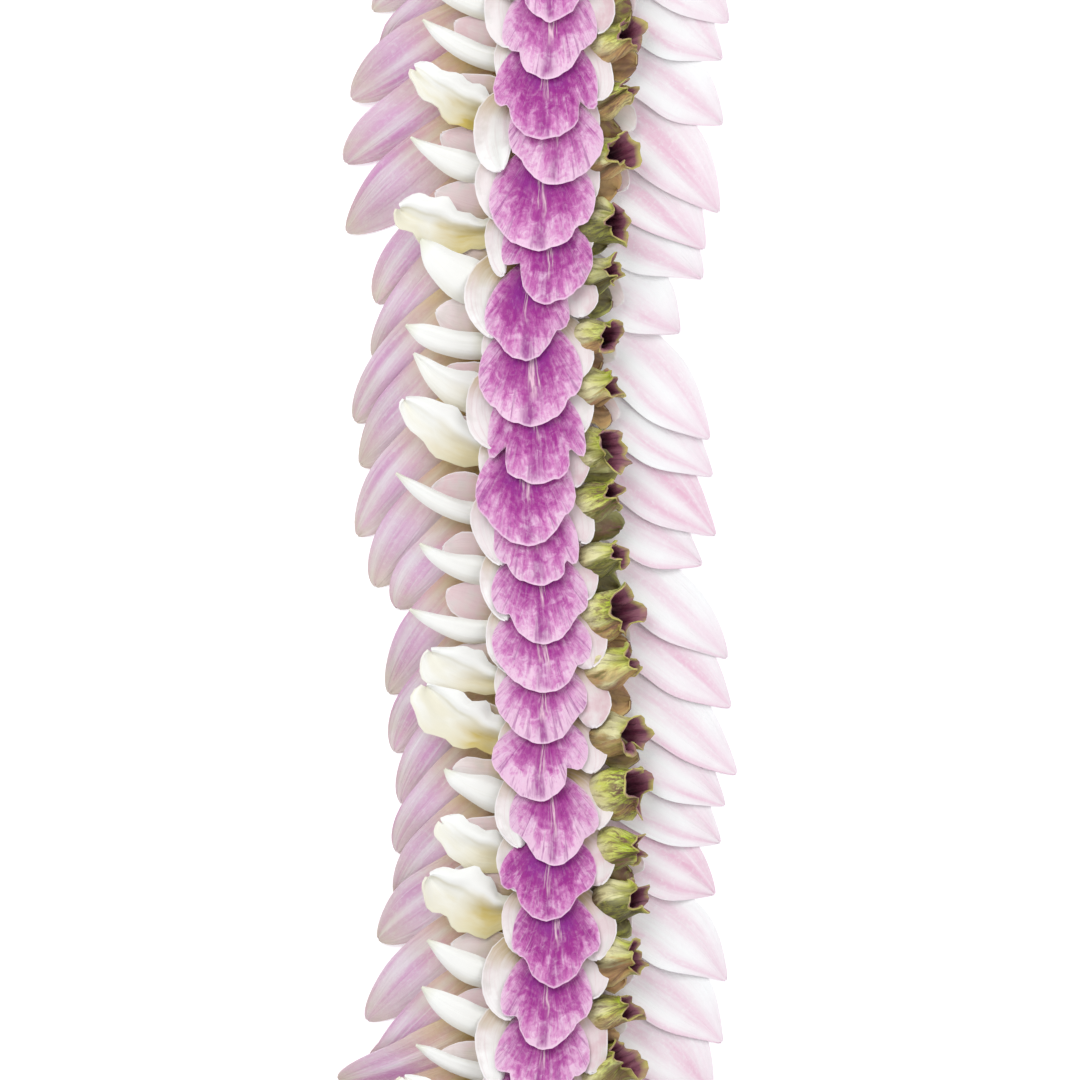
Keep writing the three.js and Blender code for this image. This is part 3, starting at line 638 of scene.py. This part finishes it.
def add_lip(piece, i, who):
    """The brown lobe beside a cup."""
    spine = [(6.2, 8.2), (9.6, 9.8), (9.4 + 1.2 * draw(i, 83), 16.2 + 1.6 * draw(i, 84))]
    profile = np.array(LIP_PROFILE) * (1, 0.93 + 0.2 * draw(i, 87))
    wave, skew = (0.17, i, 88, 0.5), 3 * draw(i, 86)
    u, v, a, b, _ = leaf(spine, profile, LIP_GRID, (0.42, 0.7), wave, skew)
    w = 10.4 + 1.1 * (1 - b**2) * np.sin(math.pi * (0.15 + 0.8 * a)) - 2.2 * a**2
    w += 0.42 * np.sin(5 * b + 4 * a + i) * a
    w += 0.2 * np.sin(11 * b - 3 * a + i) * a
    # A made-up dent: painted shade down the lip's middle and painted highlight toward its edges
    dent = 0.22 - 0.4 * b**2 + 0.05 * np.sin(14 * b + i)
    p = place(start(i) + u, v, w)
    piece.shell(p, stack(0.42 + 0.4 * a, 1.0, who), stack(0.2 * b, dent, 0), CUP_T)


def add_cup(piece, i):
    who = 0.5 + 0.5 * draw(i, 78)
    add_bell(piece, i, who)
    add_lip(piece, i, who)


# What the petals are held on
def ring_line(s, v, w, radius, sides):
    """Rings round the strand line at v and w, one at each s with a radius of its own."""
    phi = angles(sides)
    s = s[:, None] + 0 * phi
    radius = radius[:, None]
    return place(s, v + radius * np.cos(phi), w + radius * np.sin(phi))


def section_marks(section, step, clear_knot=0.0):
    """Places along a section, about a step apart and clear of the thread's knot."""
    lo = section * PER_SECTION * PITCH + END_GAP
    hi = (section + 1) * PER_SECTION * PITCH - END_GAP
    if section == 0:
        lo += clear_knot
    if section == SECTIONS - 1:
        hi -= clear_knot
    return np.linspace(lo, hi, int((hi - lo) / step))


def add_core(piece, section, v, w, radius):
    s = section_marks(section, CORE_STEP)
    swell = 0.82 + 0.18 * np.cos(2 * math.pi * (s - ROOT_SHIFT - 1) / PITCH)
    piece.rod(ring_line(s, v, w, radius * swell, CORE_SIDES)[:, ::-1], (0, 0, 0.5))


def add_bases(piece, section):
    """The swollen flower bases, a skin round the thread."""
    s = section_marks(section, BASE_STEP, KNOT_ROOM)
    swell = 1.62 + 0.26 * np.cos(2 * math.pi * (s - ROOT_SHIFT - 5) / PITCH)
    p = ring_line(s, 0.0, THREAD_W, swell, BASE_SIDES)
    piece.shell(p[:, ::-1], (0, 1, 0.4), (0, 0, 0), BASE_T, wrap=True)


def tube(line, thick, guide):
    """Rings round a line given in strand coordinates. guide is a direction that the line never takes."""
    ahead = unit(np.gradient(line, axis=0))
    side = unit(np.cross(ahead, guide))
    q = line[:, None] + spokes(side, ahead, angles(KNOT_SIDES)) * thick[:, None, None]
    return place(q[..., 0], q[..., 1], q[..., 2])


def add_knot(piece, radius, thick, count):
    """A thread wound count times round the strand at s = 0, with its ends tucked in."""
    q = np.linspace(0, 1, 24 * count)
    angle = 2 * math.pi * count * q
    s = (q - 0.5) * 2.1 * thick * count
    out = radius * (0.35 + 0.65 * np.minimum(1, np.minimum(q, 1 - q) * 9))
    line = np.stack([s, out * np.cos(angle), THREAD_W + out * np.sin(angle)], -1)
    piece.rod(tube(line, np.full(len(q), thick), (1, 0, 0)), (0, 0, 0))


def add_tail(piece, way):
    """One end of the thread, from the knot along the strand and aside. way is -1 or 1."""
    q = np.linspace(0, 1, 14)
    across = way * 1.1 * np.sin(q * math.pi / 2)
    line = np.stack([way * (0.1 + 2.5 * q), across, THREAD_W + 0.4 * way * q**2], -1)
    piece.rod(tube(line, 0.3 * (1 - 0.25 * q**6), (0, 0.12, 1)), (0, 0, 0))


# Materials
SPECULAR = 0.35


def rgb(*screen):
    """Shader colour of a colour on a screen."""
    linear = (((c / 255 + 0.055) / 1.055) ** 2.4 if c > 10 else c / 255 / 12.92 for c in screen)
    return (*linear, 1.0)


class Look:
    """A material built node by node. Colours given to ramp and tint are screen colours from 0 to 255."""

    def __init__(self, name):
        self.material = bpy.data.materials.new(name)
        self.material.use_nodes = True
        self.tree = self.material.node_tree
        self.tree.nodes.clear()

    def node(self, kind, inputs=(), **settings):
        n = self.tree.nodes.new(kind)
        for key, value in settings.items():
            setattr(n, key, value)
        for key, value in dict(inputs).items():
            if isinstance(value, bpy.types.NodeSocket):
                self.tree.links.new(value, n.inputs[key])
            else:
                n.inputs[key].default_value = value
        return n

    def math(self, operation, a, b=0.0, c=0.0, clamp=False):
        n = self.node("ShaderNodeMath", {0: a, 1: b, 2: c}, operation=operation)
        n.use_clamp = clamp
        return n.outputs[0]

    def times(self, *values):
        product = values[0]
        for value in values[1:]:
            product = self.math("MULTIPLY", product, value)
        return product

    def plus(self, a, b):
        return self.math("ADD", a, b)

    def sine(self, value, waves):
        return self.math("SINE", self.times(value, waves))

    def shifts(self, *terms):
        """Sum of (value, weight) terms, each value counted from its middle, 0.5."""
        total = 0.0
        for term, weight in terms:
            total = self.plus(total, self.times(self.math("SUBTRACT", term, 0.5), weight))
        return total

    def bell(self, value, at, width):
        """1 where value is at, falling to nothing over width."""
        off = self.math("DIVIDE", self.math("SUBTRACT", value, at), width)
        return self.math("EXPONENT", self.times(off, off, -1.0))

    def parts(self, name):
        at = self.node("ShaderNodeAttribute", attribute_name=name).outputs["Vector"]
        return self.node("ShaderNodeSeparateXYZ", {0: at}).outputs

    def vector(self, x, y, z):
        return self.node("ShaderNodeCombineXYZ", {0: x, 1: y, 2: z}).outputs[0]

    def noise(self, vector, scale, detail=3.0, rough=0.5, warp=0.0):
        inputs = {"Vector": vector, "Scale": scale, "Detail": detail, "Roughness": rough, "Distortion": warp}
        return self.node("ShaderNodeTexNoise", inputs).outputs[0]

    def grain(self, across, across_scale, along, along_scale, seed, detail=3.0, rough=0.5, warp=0.0):
        """Noise drawn out along a petal."""
        at = self.vector(self.times(across, across_scale), self.times(along, along_scale), seed)
        return self.noise(at, 1.0, detail, rough, warp)

    def range(self, value, lo, hi, to_lo=0.0, to_hi=1.0):
        n = self.node("ShaderNodeMapRange", {0: value, 1: lo, 2: hi, 3: to_lo, 4: to_hi}, clamp=True)
        return n.outputs[0]

    def mix(self, factor, a, b):
        n = self.node("ShaderNodeMix", {0: factor, 6: a, 7: b}, data_type="RGBA")
        return n.outputs[2]

    def tint(self, body, colour, *factors):
        """Body with a colour laid over it, as strong as the product of the factors."""
        return self.mix(self.times(*factors), body, rgb(*colour))

    def ramp(self, value, *stops):
        """Colours along value, from stops (place, red, green, blue)."""
        n = self.node("ShaderNodeValToRGB", {0: value})
        e = n.color_ramp.elements
        while len(e) < len(stops):
            e.new(0.5)
        for k, (at, *colour) in enumerate(stops):
            e[k].position, e[k].color = at, rgb(*colour)
        return n.outputs[0]

    def finish(self, colour, roughness, bump, strength, distance, through, sheen=0.0):
        """The material, with a bump and, for petals, some light coming through."""
        bumps = {"Height": bump, "Strength": strength, "Distance": distance}
        normal = self.node("ShaderNodeBump", bumps).outputs[0]
        inputs = {
            "Base Color": colour, "Roughness": roughness, "Normal": normal,
            "Specular IOR Level": SPECULAR, "Sheen Weight": sheen, "Sheen Roughness": 0.4,
        }
        body = self.node("ShaderNodeBsdfPrincipled", inputs).outputs[0]
        if through:
            light = self.node("ShaderNodeBsdfTranslucent", {"Color": colour, "Normal": normal}).outputs[0]
            body = self.node("ShaderNodeMixShader", {0: through, 1: body, 2: light}).outputs[0]
        self.node("ShaderNodeOutputMaterial", {0: body})
        return self.material


def banner_look():
    m = Look("magenta_petal")
    r, phi, who = m.parts("petal")
    u, v, _ = m.parts("fan")
    far = m.math("ABSOLUTE", phi)
    seed = m.times(who, 70.0)
    broad = m.grain(phi, 9.0, r, 1.8, seed, 3.0, 0.6, 0.6)
    veins = m.grain(phi, 22.0, r, 1.7, seed, 4.0, 0.62, 0.3)
    fine = m.grain(phi, 60.0, r, 8.0, seed, 2.0, 0.6, 0.3)
    blotch = m.noise(m.vector(u, v, seed), 0.42, 4.0, 0.7, 0.8)
    speck = m.noise(m.vector(m.times(u, 0.7), v, m.plus(seed, 9.0)), 1.2, 3.0, 0.65, 0.3)

    # From deep at the claw to pale at the edge
    shifts = m.shifts((blotch, 0.9), (broad, 0.7), (veins, 0.6), (fine, 0.25), (speck, 0.22), (who, -0.5))
    body = m.ramp(
        m.plus(r, shifts), (0, 132, 14, 122), (0.44, 162, 40, 142), (0.57, 184, 76, 162),
        (0.73, 204, 112, 182), (0.88, 224, 158, 206), (1, 240, 200, 226),
    )
    pale = m.times(m.range(far, 0.22, 0.6), m.range(blotch, 0.4, 0.6, 0.1, 0.6))
    body = m.tint(body, (224, 170, 210), pale, m.range(who, 0.2, 0.9, 1.0, 0.4))

    # Dark middle line, veins, and the dark field where the next petal lies over this one: deep colour with
    # painted shade from that petal
    middle = m.times(m.bell(phi, 0.0, 0.045), m.range(r, 0.45, 0.75, 0.4, 1.0), m.range(r, 1.0, 0.93))
    body = m.tint(body, (148, 26, 132), middle, m.range(veins, 0.3, 0.55, 0.3, 1.0), 0.85)
    body = m.tint(body, (152, 36, 140), m.range(veins, 0.54, 0.66, 0.0, 0.65))
    body = m.tint(body, (234, 190, 222), m.range(veins, 0.45, 0.32, 0.0, 0.55))
    low = m.plus(r, m.shifts((blotch, 0.4), (broad, 0.2), (who, -0.15)))
    # Painted shade where the next petal lies over this one, stronger on deep banners
    under = m.times(m.range(low, 0.8, 0.56), m.range(far, 0.78, 0.36, 0.2, 1.0))
    body = m.tint(body, (158, 26, 138), under, m.range(who, 0.2, 0.6, 0.4, 1.0), 0.85)
    # Painted shadow: a violet tint deep in the shaded field under the next petal
    painted_violet_shadow = m.times(m.range(low, 0.58, 0.42), m.range(far, 0.7, 0.3, 0.0, 0.5))
    body = m.tint(body, (132, 26, 146), painted_violet_shadow, m.range(who, 0.3, 0.6))

    # Pale specks, and pale patches that are painted highlights
    body = m.tint(body, (238, 202, 230), m.range(speck, 0.5, 0.72), m.range(r, 0.4, 0.85, 0.1, 0.28))
    # Painted highlight: pale glossy patches
    sheen = m.times(m.range(blotch, 0.5, 0.72), m.range(veins, 0.56, 0.42), m.range(r, 0.45, 0.7))
    body = m.tint(body, (242, 218, 238), sheen, m.range(speck, 0.35, 0.6, 0.3, 0.55))

    # Up to three pale streaks from the claw, of a length of their own
    bent = m.plus(phi, m.shifts((broad, 0.16), (veins, 0.05)))
    second = m.range(m.sine(who, 51.0), -0.6, 0.4, 0.1, 0.9)
    past = m.math("SUBTRACT", r, m.math("MULTIPLY_ADD", m.sine(who, 37.0), 0.07, 0.64))
    claws = m.times(m.bell(bent, 0.012, 0.014), m.range(past, 0.1, -0.02))
    claws = m.plus(claws, m.times(m.bell(bent, -0.04, 0.01), second, m.range(past, 0.0, -0.06)))
    third = m.times(m.bell(bent, 0.06, 0.008), m.range(second, 0.6, 0.2), m.range(past, 0.03, -0.06))
    claws = m.plus(claws, third)
    claws = m.math("MULTIPLY", claws, m.range(fine, 0.3, 0.5, 0.4, 1.0), clamp=True)
    body = m.tint(body, (246, 206, 224), claws, 0.95)
    # Painted highlight: a thin pale rim along the edge
    body = m.tint(body, (244, 212, 234), m.range(r, 0.975, 0.99), 0.6)
    height = m.shifts((broad, 0.8), (veins, 0.9), (fine, 0.5), (speck, 0.4))
    height = m.plus(height, m.times(claws, 0.8))
    return m.finish(body, m.range(speck, 0.3, 0.7, 0.42, 0.62), height, 0.6, 0.0007, 0.06, 0.1)


def scale_look(name, stops, blush, base):
    """Small pale petals. Stops run from root to tip, blush colours spots and veins, base the root."""
    m = Look(name)
    a, b, who = m.parts("petal")
    u, v, _ = m.parts("fan")
    beside = m.math("ABSOLUTE", b)
    seed = m.times(who, 60.0)
    veins = m.grain(b, 8.0, a, 1.6, seed, 3.0, 0.6)
    spots = m.noise(m.vector(u, v, seed), 0.33, 3.0)
    body = m.ramp(m.plus(a, m.shifts((spots, 0.6), (who, 0.2))), *stops)
    body = m.tint(body, blush, m.range(spots, 0.3, 0.6, 0.35, 1.0), m.range(who, 0.3, 1.0, 0.0, 0.95))
    body = m.tint(body, blush, m.range(veins, 0.5, 0.68, 0.0, 0.35))
    # Painted shade: grey, stronger toward the sides, in patches
    body = m.tint(body, (222, 218, 214), m.range(spots, 0.5, 0.3), m.range(beside, 0.2, 0.7, 0.3, 0.7))
    # Painted shade: a grey-green band down the middle, mostly on the left ones
    painted_middle_shade = m.times(m.bell(b, 0.1, 0.4), m.range(a, 0.2, 0.5), m.range(who, 0.6, 0.2, 0.0, 0.45))
    body = m.tint(body, (222, 226, 218), painted_middle_shade)
    body = m.tint(body, base, m.range(a, 0.6, 0.3), m.range(veins, 0.3, 0.6, 0.3, 0.9))
    # Painted highlight: a pale rim along the sides and the tip
    edge = m.math("MAXIMUM", m.range(beside, 0.9, 0.97), m.range(a, 0.965, 0.99))
    body = m.tint(body, (252, 249, 250), edge, 0.7)
    return m.finish(body, 0.5, m.shifts((veins, 0.8), (spots, 0.5)), 0.3, 0.0004, 0.12)


def keel_look():
    m = Look("cream_keel")
    a, b, who = m.parts("petal")
    broad, _, _ = m.parts("fan")
    seed = m.times(who, 40.0)
    veins = m.grain(b, 7.0, a, 1.5, seed)
    spots = m.grain(b, 1.4, a, 3.0, seed)
    patchy = m.range(spots, 0.3, 0.6, 0.3, 1.0)
    body = m.ramp(a, (0, 206, 198, 130), (0.3, 240, 238, 214), (0.48, 252, 252, 247), (1, 254, 255, 252))
    deep = m.range(m.plus(a, m.shifts((spots, 0.5))), 0.76, 0.5)
    body = m.tint(body, (210, 184, 66), broad, m.range(b, -0.5, 0.0), deep)
    creamy = m.times(broad, m.range(b, -0.4, 0.1), m.range(spots, 0.35, 0.6, 0.2, 1.0))
    body = m.tint(body, (236, 230, 198), creamy, 0.7)
    # Painted shade: a beige band along the lower edge, fading toward the end
    body = m.tint(body, (214, 204, 146), m.range(b, 0.5, 0.95), m.range(a, 0.85, 0.45), patchy, 0.5)
    # Painted shade along the fold line of a broad keel
    painted_fold_shade = m.times(broad, m.bell(b, -0.26, 0.07), m.range(a, 0.4, 0.65))
    body = m.tint(body, (208, 202, 166), painted_fold_shade, patchy, 0.45)
    body = m.tint(body, (214, 212, 156), m.range(a, 0.9, 1.0), m.range(broad, 0.5, 0.0), 0.4)
    body = m.tint(body, (232, 230, 210), m.range(veins, 0.55, 0.8, 0.0, 0.2))
    return m.finish(body, 0.42, m.shifts((veins, 0.8), (spots, 0.3)), 0.3, 0.0004, 0.12)


def long_look(name, stops, stripe, pale, tip, root, reach, width, strength, streaks):
    """Long petals: one or two soft coloured bands along, pale lines between, and coloured ends."""
    m = Look(name)
    a, b, who = m.parts("petal")
    across, along, _ = m.parts("fan")
    seed = m.times(who, 40.0)
    soft = m.grain(b, 2.6, a, 2.2, seed, 3.0, 0.55, 0.6)
    lines = m.grain(b, 8.0, a, 2.6, seed, 4.0, 0.6, 0.6)
    spots = m.noise(m.vector(across, along, seed), 0.22, 3.0)
    speck = m.noise(m.vector(across, along, seed), 1.3, 3.0, 0.65)
    mauve = m.range(who, 0.0, 1.0, 0.5, 1.0)
    body = m.ramp(m.plus(a, m.shifts((spots, 0.4))), *stops)
    body = m.tint(body, stripe, m.range(who, 0.45, 1.0), m.range(soft, 0.4, 0.6, 0.35, 1.0), strength * 0.6)

    # The main band, a pale gap beside it and a second band beyond
    at = m.times(m.sine(who, 9.0), 0.4)
    broken = m.range(lines, 0.34, 0.6, 1 - streaks, 1.0)
    band = m.times(m.bell(b, at, width), m.range(soft, 0.3, 0.6, 0.3, 1.0), broken, mauve)
    body = m.tint(body, stripe, band, strength)
    gap = m.bell(b, m.math("SUBTRACT", at, width * 1.25), 0.2)
    body = m.tint(body, pale, gap, m.range(soft, 0.35, 0.6, 0.35, 1.0), 0.8)
    second = m.bell(b, m.math("SUBTRACT", at, width * 2.3), 0.2)
    body = m.tint(body, stripe, second, m.range(soft, 0.62, 0.35, 0.3, 1.0), strength * 0.8)

    # Fine lines and specks, then the two ends
    body = m.tint(body, stripe, m.range(lines, 0.52, 0.68, 0.0, streaks), mauve)
    body = m.tint(body, pale, m.range(lines, 0.46, 0.34, 0.0, streaks))
    body = m.tint(body, pale, m.range(speck, 0.5, 0.7, 0.0, 0.35))
    body = m.tint(body, tip, m.range(a, 0.8, 0.98), m.range(spots, 0.3, 0.6, 0.45, 1.0), 0.65)
    body = m.tint(body, root, m.range(a, reach, reach - 0.36), m.range(spots, 0.25, 0.6, 0.5, 0.95))
    height = m.shifts((lines, 1.0), (soft, 0.5), (speck, 0.25))
    return m.finish(body, 0.5, height, 0.4, 0.0005, 0.12, 0.1)


def calyx_look():
    m = Look("calyx")
    t, cosine, who = m.parts("petal")
    sine, dent, under = m.parts("fan")
    turn = m.math("ARCTAN2", sine, cosine)
    along = m.plus(m.times(who, 50.0), m.times(t, 2.5))
    spin = m.vector(m.times(cosine, 2.2), m.times(sine, 2.2), along)
    blotch = m.noise(spin, 0.8, 4.0, 0.62, 0.4)
    net = m.noise(spin, 3.4, 4.0, 0.7, 0.6)
    ribs = m.plus(m.times(m.math("COSINE", m.times(turn, 13.0)), 0.12), net)

    # Outside: dark tube, pale body, green lip, with a brown or olive side, bruises, painted shade in the
    # folds and painted highlight on the ridges
    outside = m.ramp(
        m.plus(t, m.shifts((blotch, 0.6), (who, 0.3))), (0, 70, 54, 38), (0.4, 102, 80, 54),
        (0.5, 212, 202, 148), (0.66, 234, 228, 176), (0.84, 214, 216, 112), (0.98, 184, 204, 48),
    )
    brown = m.range(m.plus(cosine, m.shifts((blotch, 3.0), (who, -1.2))), 0.1, 0.6)
    outside = m.tint(outside, (222, 218, 172), m.range(net, 0.42, 0.3, 0.0, 0.5))
    tan = m.ramp(blotch, (0.3, 70, 44, 36), (0.44, 160, 110, 76), (0.58, 196, 154, 100), (0.7, 110, 96, 46))
    olive = m.ramp(net, (0.34, 46, 38, 22), (0.48, 92, 88, 34), (0.62, 148, 152, 54))
    kind = m.range(m.sine(who, 43.0), 0.0, 0.6)
    outside = m.mix(m.times(brown, 0.92), outside, m.mix(kind, tan, olive))
    # Painted shade where the wall is dented in, painted highlight where it bulges out
    outside = m.tint(outside, (74, 58, 26), m.range(dent, 0.04, 0.3, 0.0, 0.75))
    outside = m.tint(outside, (236, 235, 168), m.range(dent, -0.04, -0.26, 0.0, 0.5))
    outside = m.tint(outside, (104, 84, 50), m.range(ribs, 0.52, 0.78, 0.0, 0.6))
    bruise = m.times(m.range(net, 0.44, 0.58), m.range(t, 0.55, 0.8), m.range(who, 0.35, 0.8))
    outside = m.tint(outside, (110, 62, 72), bruise, 0.85)

    # Inside: purple, darkening to near black deeper in the cup as painted shade in the hollow; then the
    # lip's thin edge
    inside = m.ramp(
        m.plus(t, m.shifts((blotch, 0.3))), (0.5, 24, 10, 18), (0.72, 56, 22, 36),
        (0.86, 118, 50, 76), (1, 162, 106, 122),
    )
    inside = m.tint(inside, (150, 98, 108), m.range(ribs, 0.5, 0.75, 0.0, 0.5))
    inside = m.tint(inside, (52, 18, 34), m.range(ribs, 0.46, 0.3, 0.0, 0.5))
    body = m.mix(under, outside, inside)
    body = m.tint(body, (206, 200, 104), m.range(t, 0.95, 0.99), m.range(blotch, 0.6, 0.42, 0.1, 1.0), 0.75)
    height = m.shifts((ribs, 1.0), (blotch, 0.5))
    return m.finish(body, m.range(net, 0.3, 0.7, 0.4, 0.65), height, 0.55, 0.0007, 0.05, 0.05)


def thread_look():
    m = Look("cotton_thread")
    at = m.node("ShaderNodeTexCoord").outputs["Object"]
    twist = m.node("ShaderNodeTexWave", {"Vector": at, "Scale": 900.0, "Distortion": 1.0}).outputs[1]
    fuzz = m.noise(at, 2500.0, 3.0)
    body = m.mix(m.range(fuzz, 0.35, 0.7), rgb(246, 243, 232), rgb(222, 216, 198))
    return m.finish(body, 0.8, twist, 0.5, 0.0002, 0.0)


banner_material = banner_look()
# Pale petals under the banners: their stops darken toward the root, beige root colour with painted shade
# from the banner above
lobe_material = scale_look(
    "pale_petal",
    [
        (0, 190, 170, 120), (0.3, 214, 196, 176), (0.55, 236, 226, 224),
        (0.8, 250, 249, 247), (1, 253, 254, 251),
    ],
    blush=(222, 190, 196),
    base=(188, 164, 104),
)
wing_material = scale_look(
    "blush_petal",
    [(0, 190, 168, 100), (0.4, 220, 202, 174), (0.7, 238, 222, 218), (1, 247, 240, 240)],
    blush=(230, 200, 204),
    base=(190, 168, 96),
)
keel_material = keel_look()
# Inner petals: the same kind as the white ones; their greyer, darker colours are painted shade
shaded_inner_material = long_look(
    "lavender_petal",
    [(0, 204, 182, 112), (0.4, 226, 206, 188), (0.62, 232, 212, 222), (1, 230, 204, 222)],
    stripe=(214, 138, 200), pale=(242, 238, 242), tip=(206, 198, 166), root=(208, 182, 108),
    reach=0.74, width=0.3, strength=0.85, streaks=0.35,
)
outer_material = long_look(
    "white_petal",
    [(0, 246, 242, 238), (0.3, 252, 252, 252), (1, 252, 253, 254)],
    stripe=(236, 180, 208), pale=(253, 254, 254), tip=(240, 214, 227), root=(246, 240, 236),
    reach=0.5, width=0.4, strength=0.85, streaks=0.12,
)
calyx_material = calyx_look()
thread_material = thread_look()


# The thread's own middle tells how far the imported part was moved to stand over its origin
THREAD_MARKS = 40
thread_lo, thread_hi = (np.array(c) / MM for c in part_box("thread")[:2])
marks = np.linspace(0, ROUND, THREAD_MARKS, endpoint=False)
line = place(marks, 0.0, np.full(THREAD_MARKS, THREAD_W))
shift = (thread_lo + thread_hi) / 2 - (line.min(0) + line.max(0)) / 2
shift[2] = 0.0


def keep(piece, name, node, slot, materials, pick):
    obj = piece.make(name, materials, shift, pick)
    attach(obj, "root")
    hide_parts(node)


# A section's pieces: name, node, slot, core (cups have the flower bases instead), layers with materials
KINDS = [
    ("magenta_petals", "banners", "banner", BANNER_CORE, [(add_banner, banner_material)]),
    ("keel_petals", "keels", "keel", KEEL_CORE, [
        (add_keel, keel_material), (add_lobes, lobe_material), (add_wings, wing_material),
    ]),
    ("calyx_cups", "calyxes", "calyx", None, [(add_cup, calyx_material)]),
    ("lavender_petals", "inner_petals", "lavender_petal", INNER_CORE, [(add_inner, shaded_inner_material)]),
    ("white_petals", "outer_petals", "white_petal", OUTER_CORE, [(add_outer, outer_material)]),
]
for section in range(SECTIONS):
    mark = f"{section + 1:02d}"
    for name, node, slot, core, layers in KINDS:
        piece = Piece()
        if core:
            add_core(piece, section, *core)
        else:
            add_bases(piece, section)
        pick = [0] * len(piece.faces)
        for k, (add, _) in enumerate(layers):
            for i in range(section * PER_SECTION, (section + 1) * PER_SECTION):
                add(piece, i)
            pick += [k] * (len(piece.faces) - len(pick))
        materials = [material for _, material in layers]
        keep(piece, f"{name}_{mark}", f"{node}_{mark}", slot, materials, pick)

# Thread, with its knot and two tails
rings, sides = CORD_GRID
cord = Piece()
s = np.linspace(0, ROUND, rings, endpoint=False)
cord.hoop(ring_line(s, 0.0, THREAD_W, np.full(rings, THREAD_R), sides))
add_knot(cord, radius=1.05, thick=0.48, count=3)
for way in (-1, 1):
    add_tail(cord, way)
keep(cord, "cotton_thread", "thread", "thread", [thread_material], [0] * len(cord.faces))

# Floor, in metres
FLOOR = 3.0
floor_mesh = bpy.data.meshes.new("floor")
corners = [(-FLOOR, -FLOOR, 0), (FLOOR, -FLOOR, 0), (FLOOR, FLOOR, 0), (-FLOOR, FLOOR, 0)]
floor_mesh.from_pydata(corners, [], [(0, 1, 2, 3)])
floor = bpy.data.objects.new("floor", floor_mesh)
bpy.context.scene.collection.objects.link(floor)
pale = Look("pale_floor")
white = {
    "Base Color": rgb(250, 250, 252), "Roughness": 0.9,
    "Emission Color": rgb(255, 255, 255), "Emission Strength": 0.3,
}
principled = pale.node("ShaderNodeBsdfPrincipled", white).outputs[0]
pale.node("ShaderNodeOutputMaterial", {0: principled})
floor_mesh.materials.append(pale.material)

# Light: a bright room and two soft lights aimed at the stretch in view, in metres and watts
ROOM_COLOUR = (0.97, 0.98, 1.0, 1.0)
ROOM_STRENGTH = 0.74
AIM = (0.08, 0, 0)
world = bpy.data.worlds.new("studio")
world.use_nodes = True
world.node_tree.nodes["Background"].inputs[0].default_value = ROOM_COLOUR
world.node_tree.nodes["Background"].inputs[1].default_value = ROOM_STRENGTH
bpy.context.scene.world = world


def soft_light(name, at, size, power):
    data = bpy.data.lights.new(name, "AREA")
    data.shape = "DISK"
    data.size = size
    data.energy = power
    obj = bpy.data.objects.new(name, data)
    obj.location = at
    obj.rotation_euler = Vector(-np.array(at) + AIM).to_track_quat("-Z", "Y").to_euler()
    bpy.context.scene.collection.objects.link(obj)


soft_light("key_light", at=(-0.35, 0.6, 1.1), size=0.8, power=7.2)
soft_light("fill_light", at=(0.9, -0.2, 1.0), size=0.9, power=2.9)

# Camera, straight down on the right-hand straight
VIEW_MM = 216.0  # height of the view at the petals
VIEW_W = 14.0  # the petals' height
CAMERA_AT = (0.0798, 0.0018, 2.2)
SENSOR = 36
camera_data = bpy.data.cameras.new("camera")
camera_data.sensor_width = SENSOR
camera_data.lens = SENSOR * (CAMERA_AT[2] / MM - VIEW_W) / VIEW_MM
camera_data.clip_end = 20
camera = bpy.data.objects.new("camera", camera_data)
camera.location = CAMERA_AT
camera.rotation_euler = (0, 0, 0)
bpy.context.scene.collection.objects.link(camera)
bpy.context.scene.camera = camera
bpy.context.scene.view_settings.view_transform = "Standard"
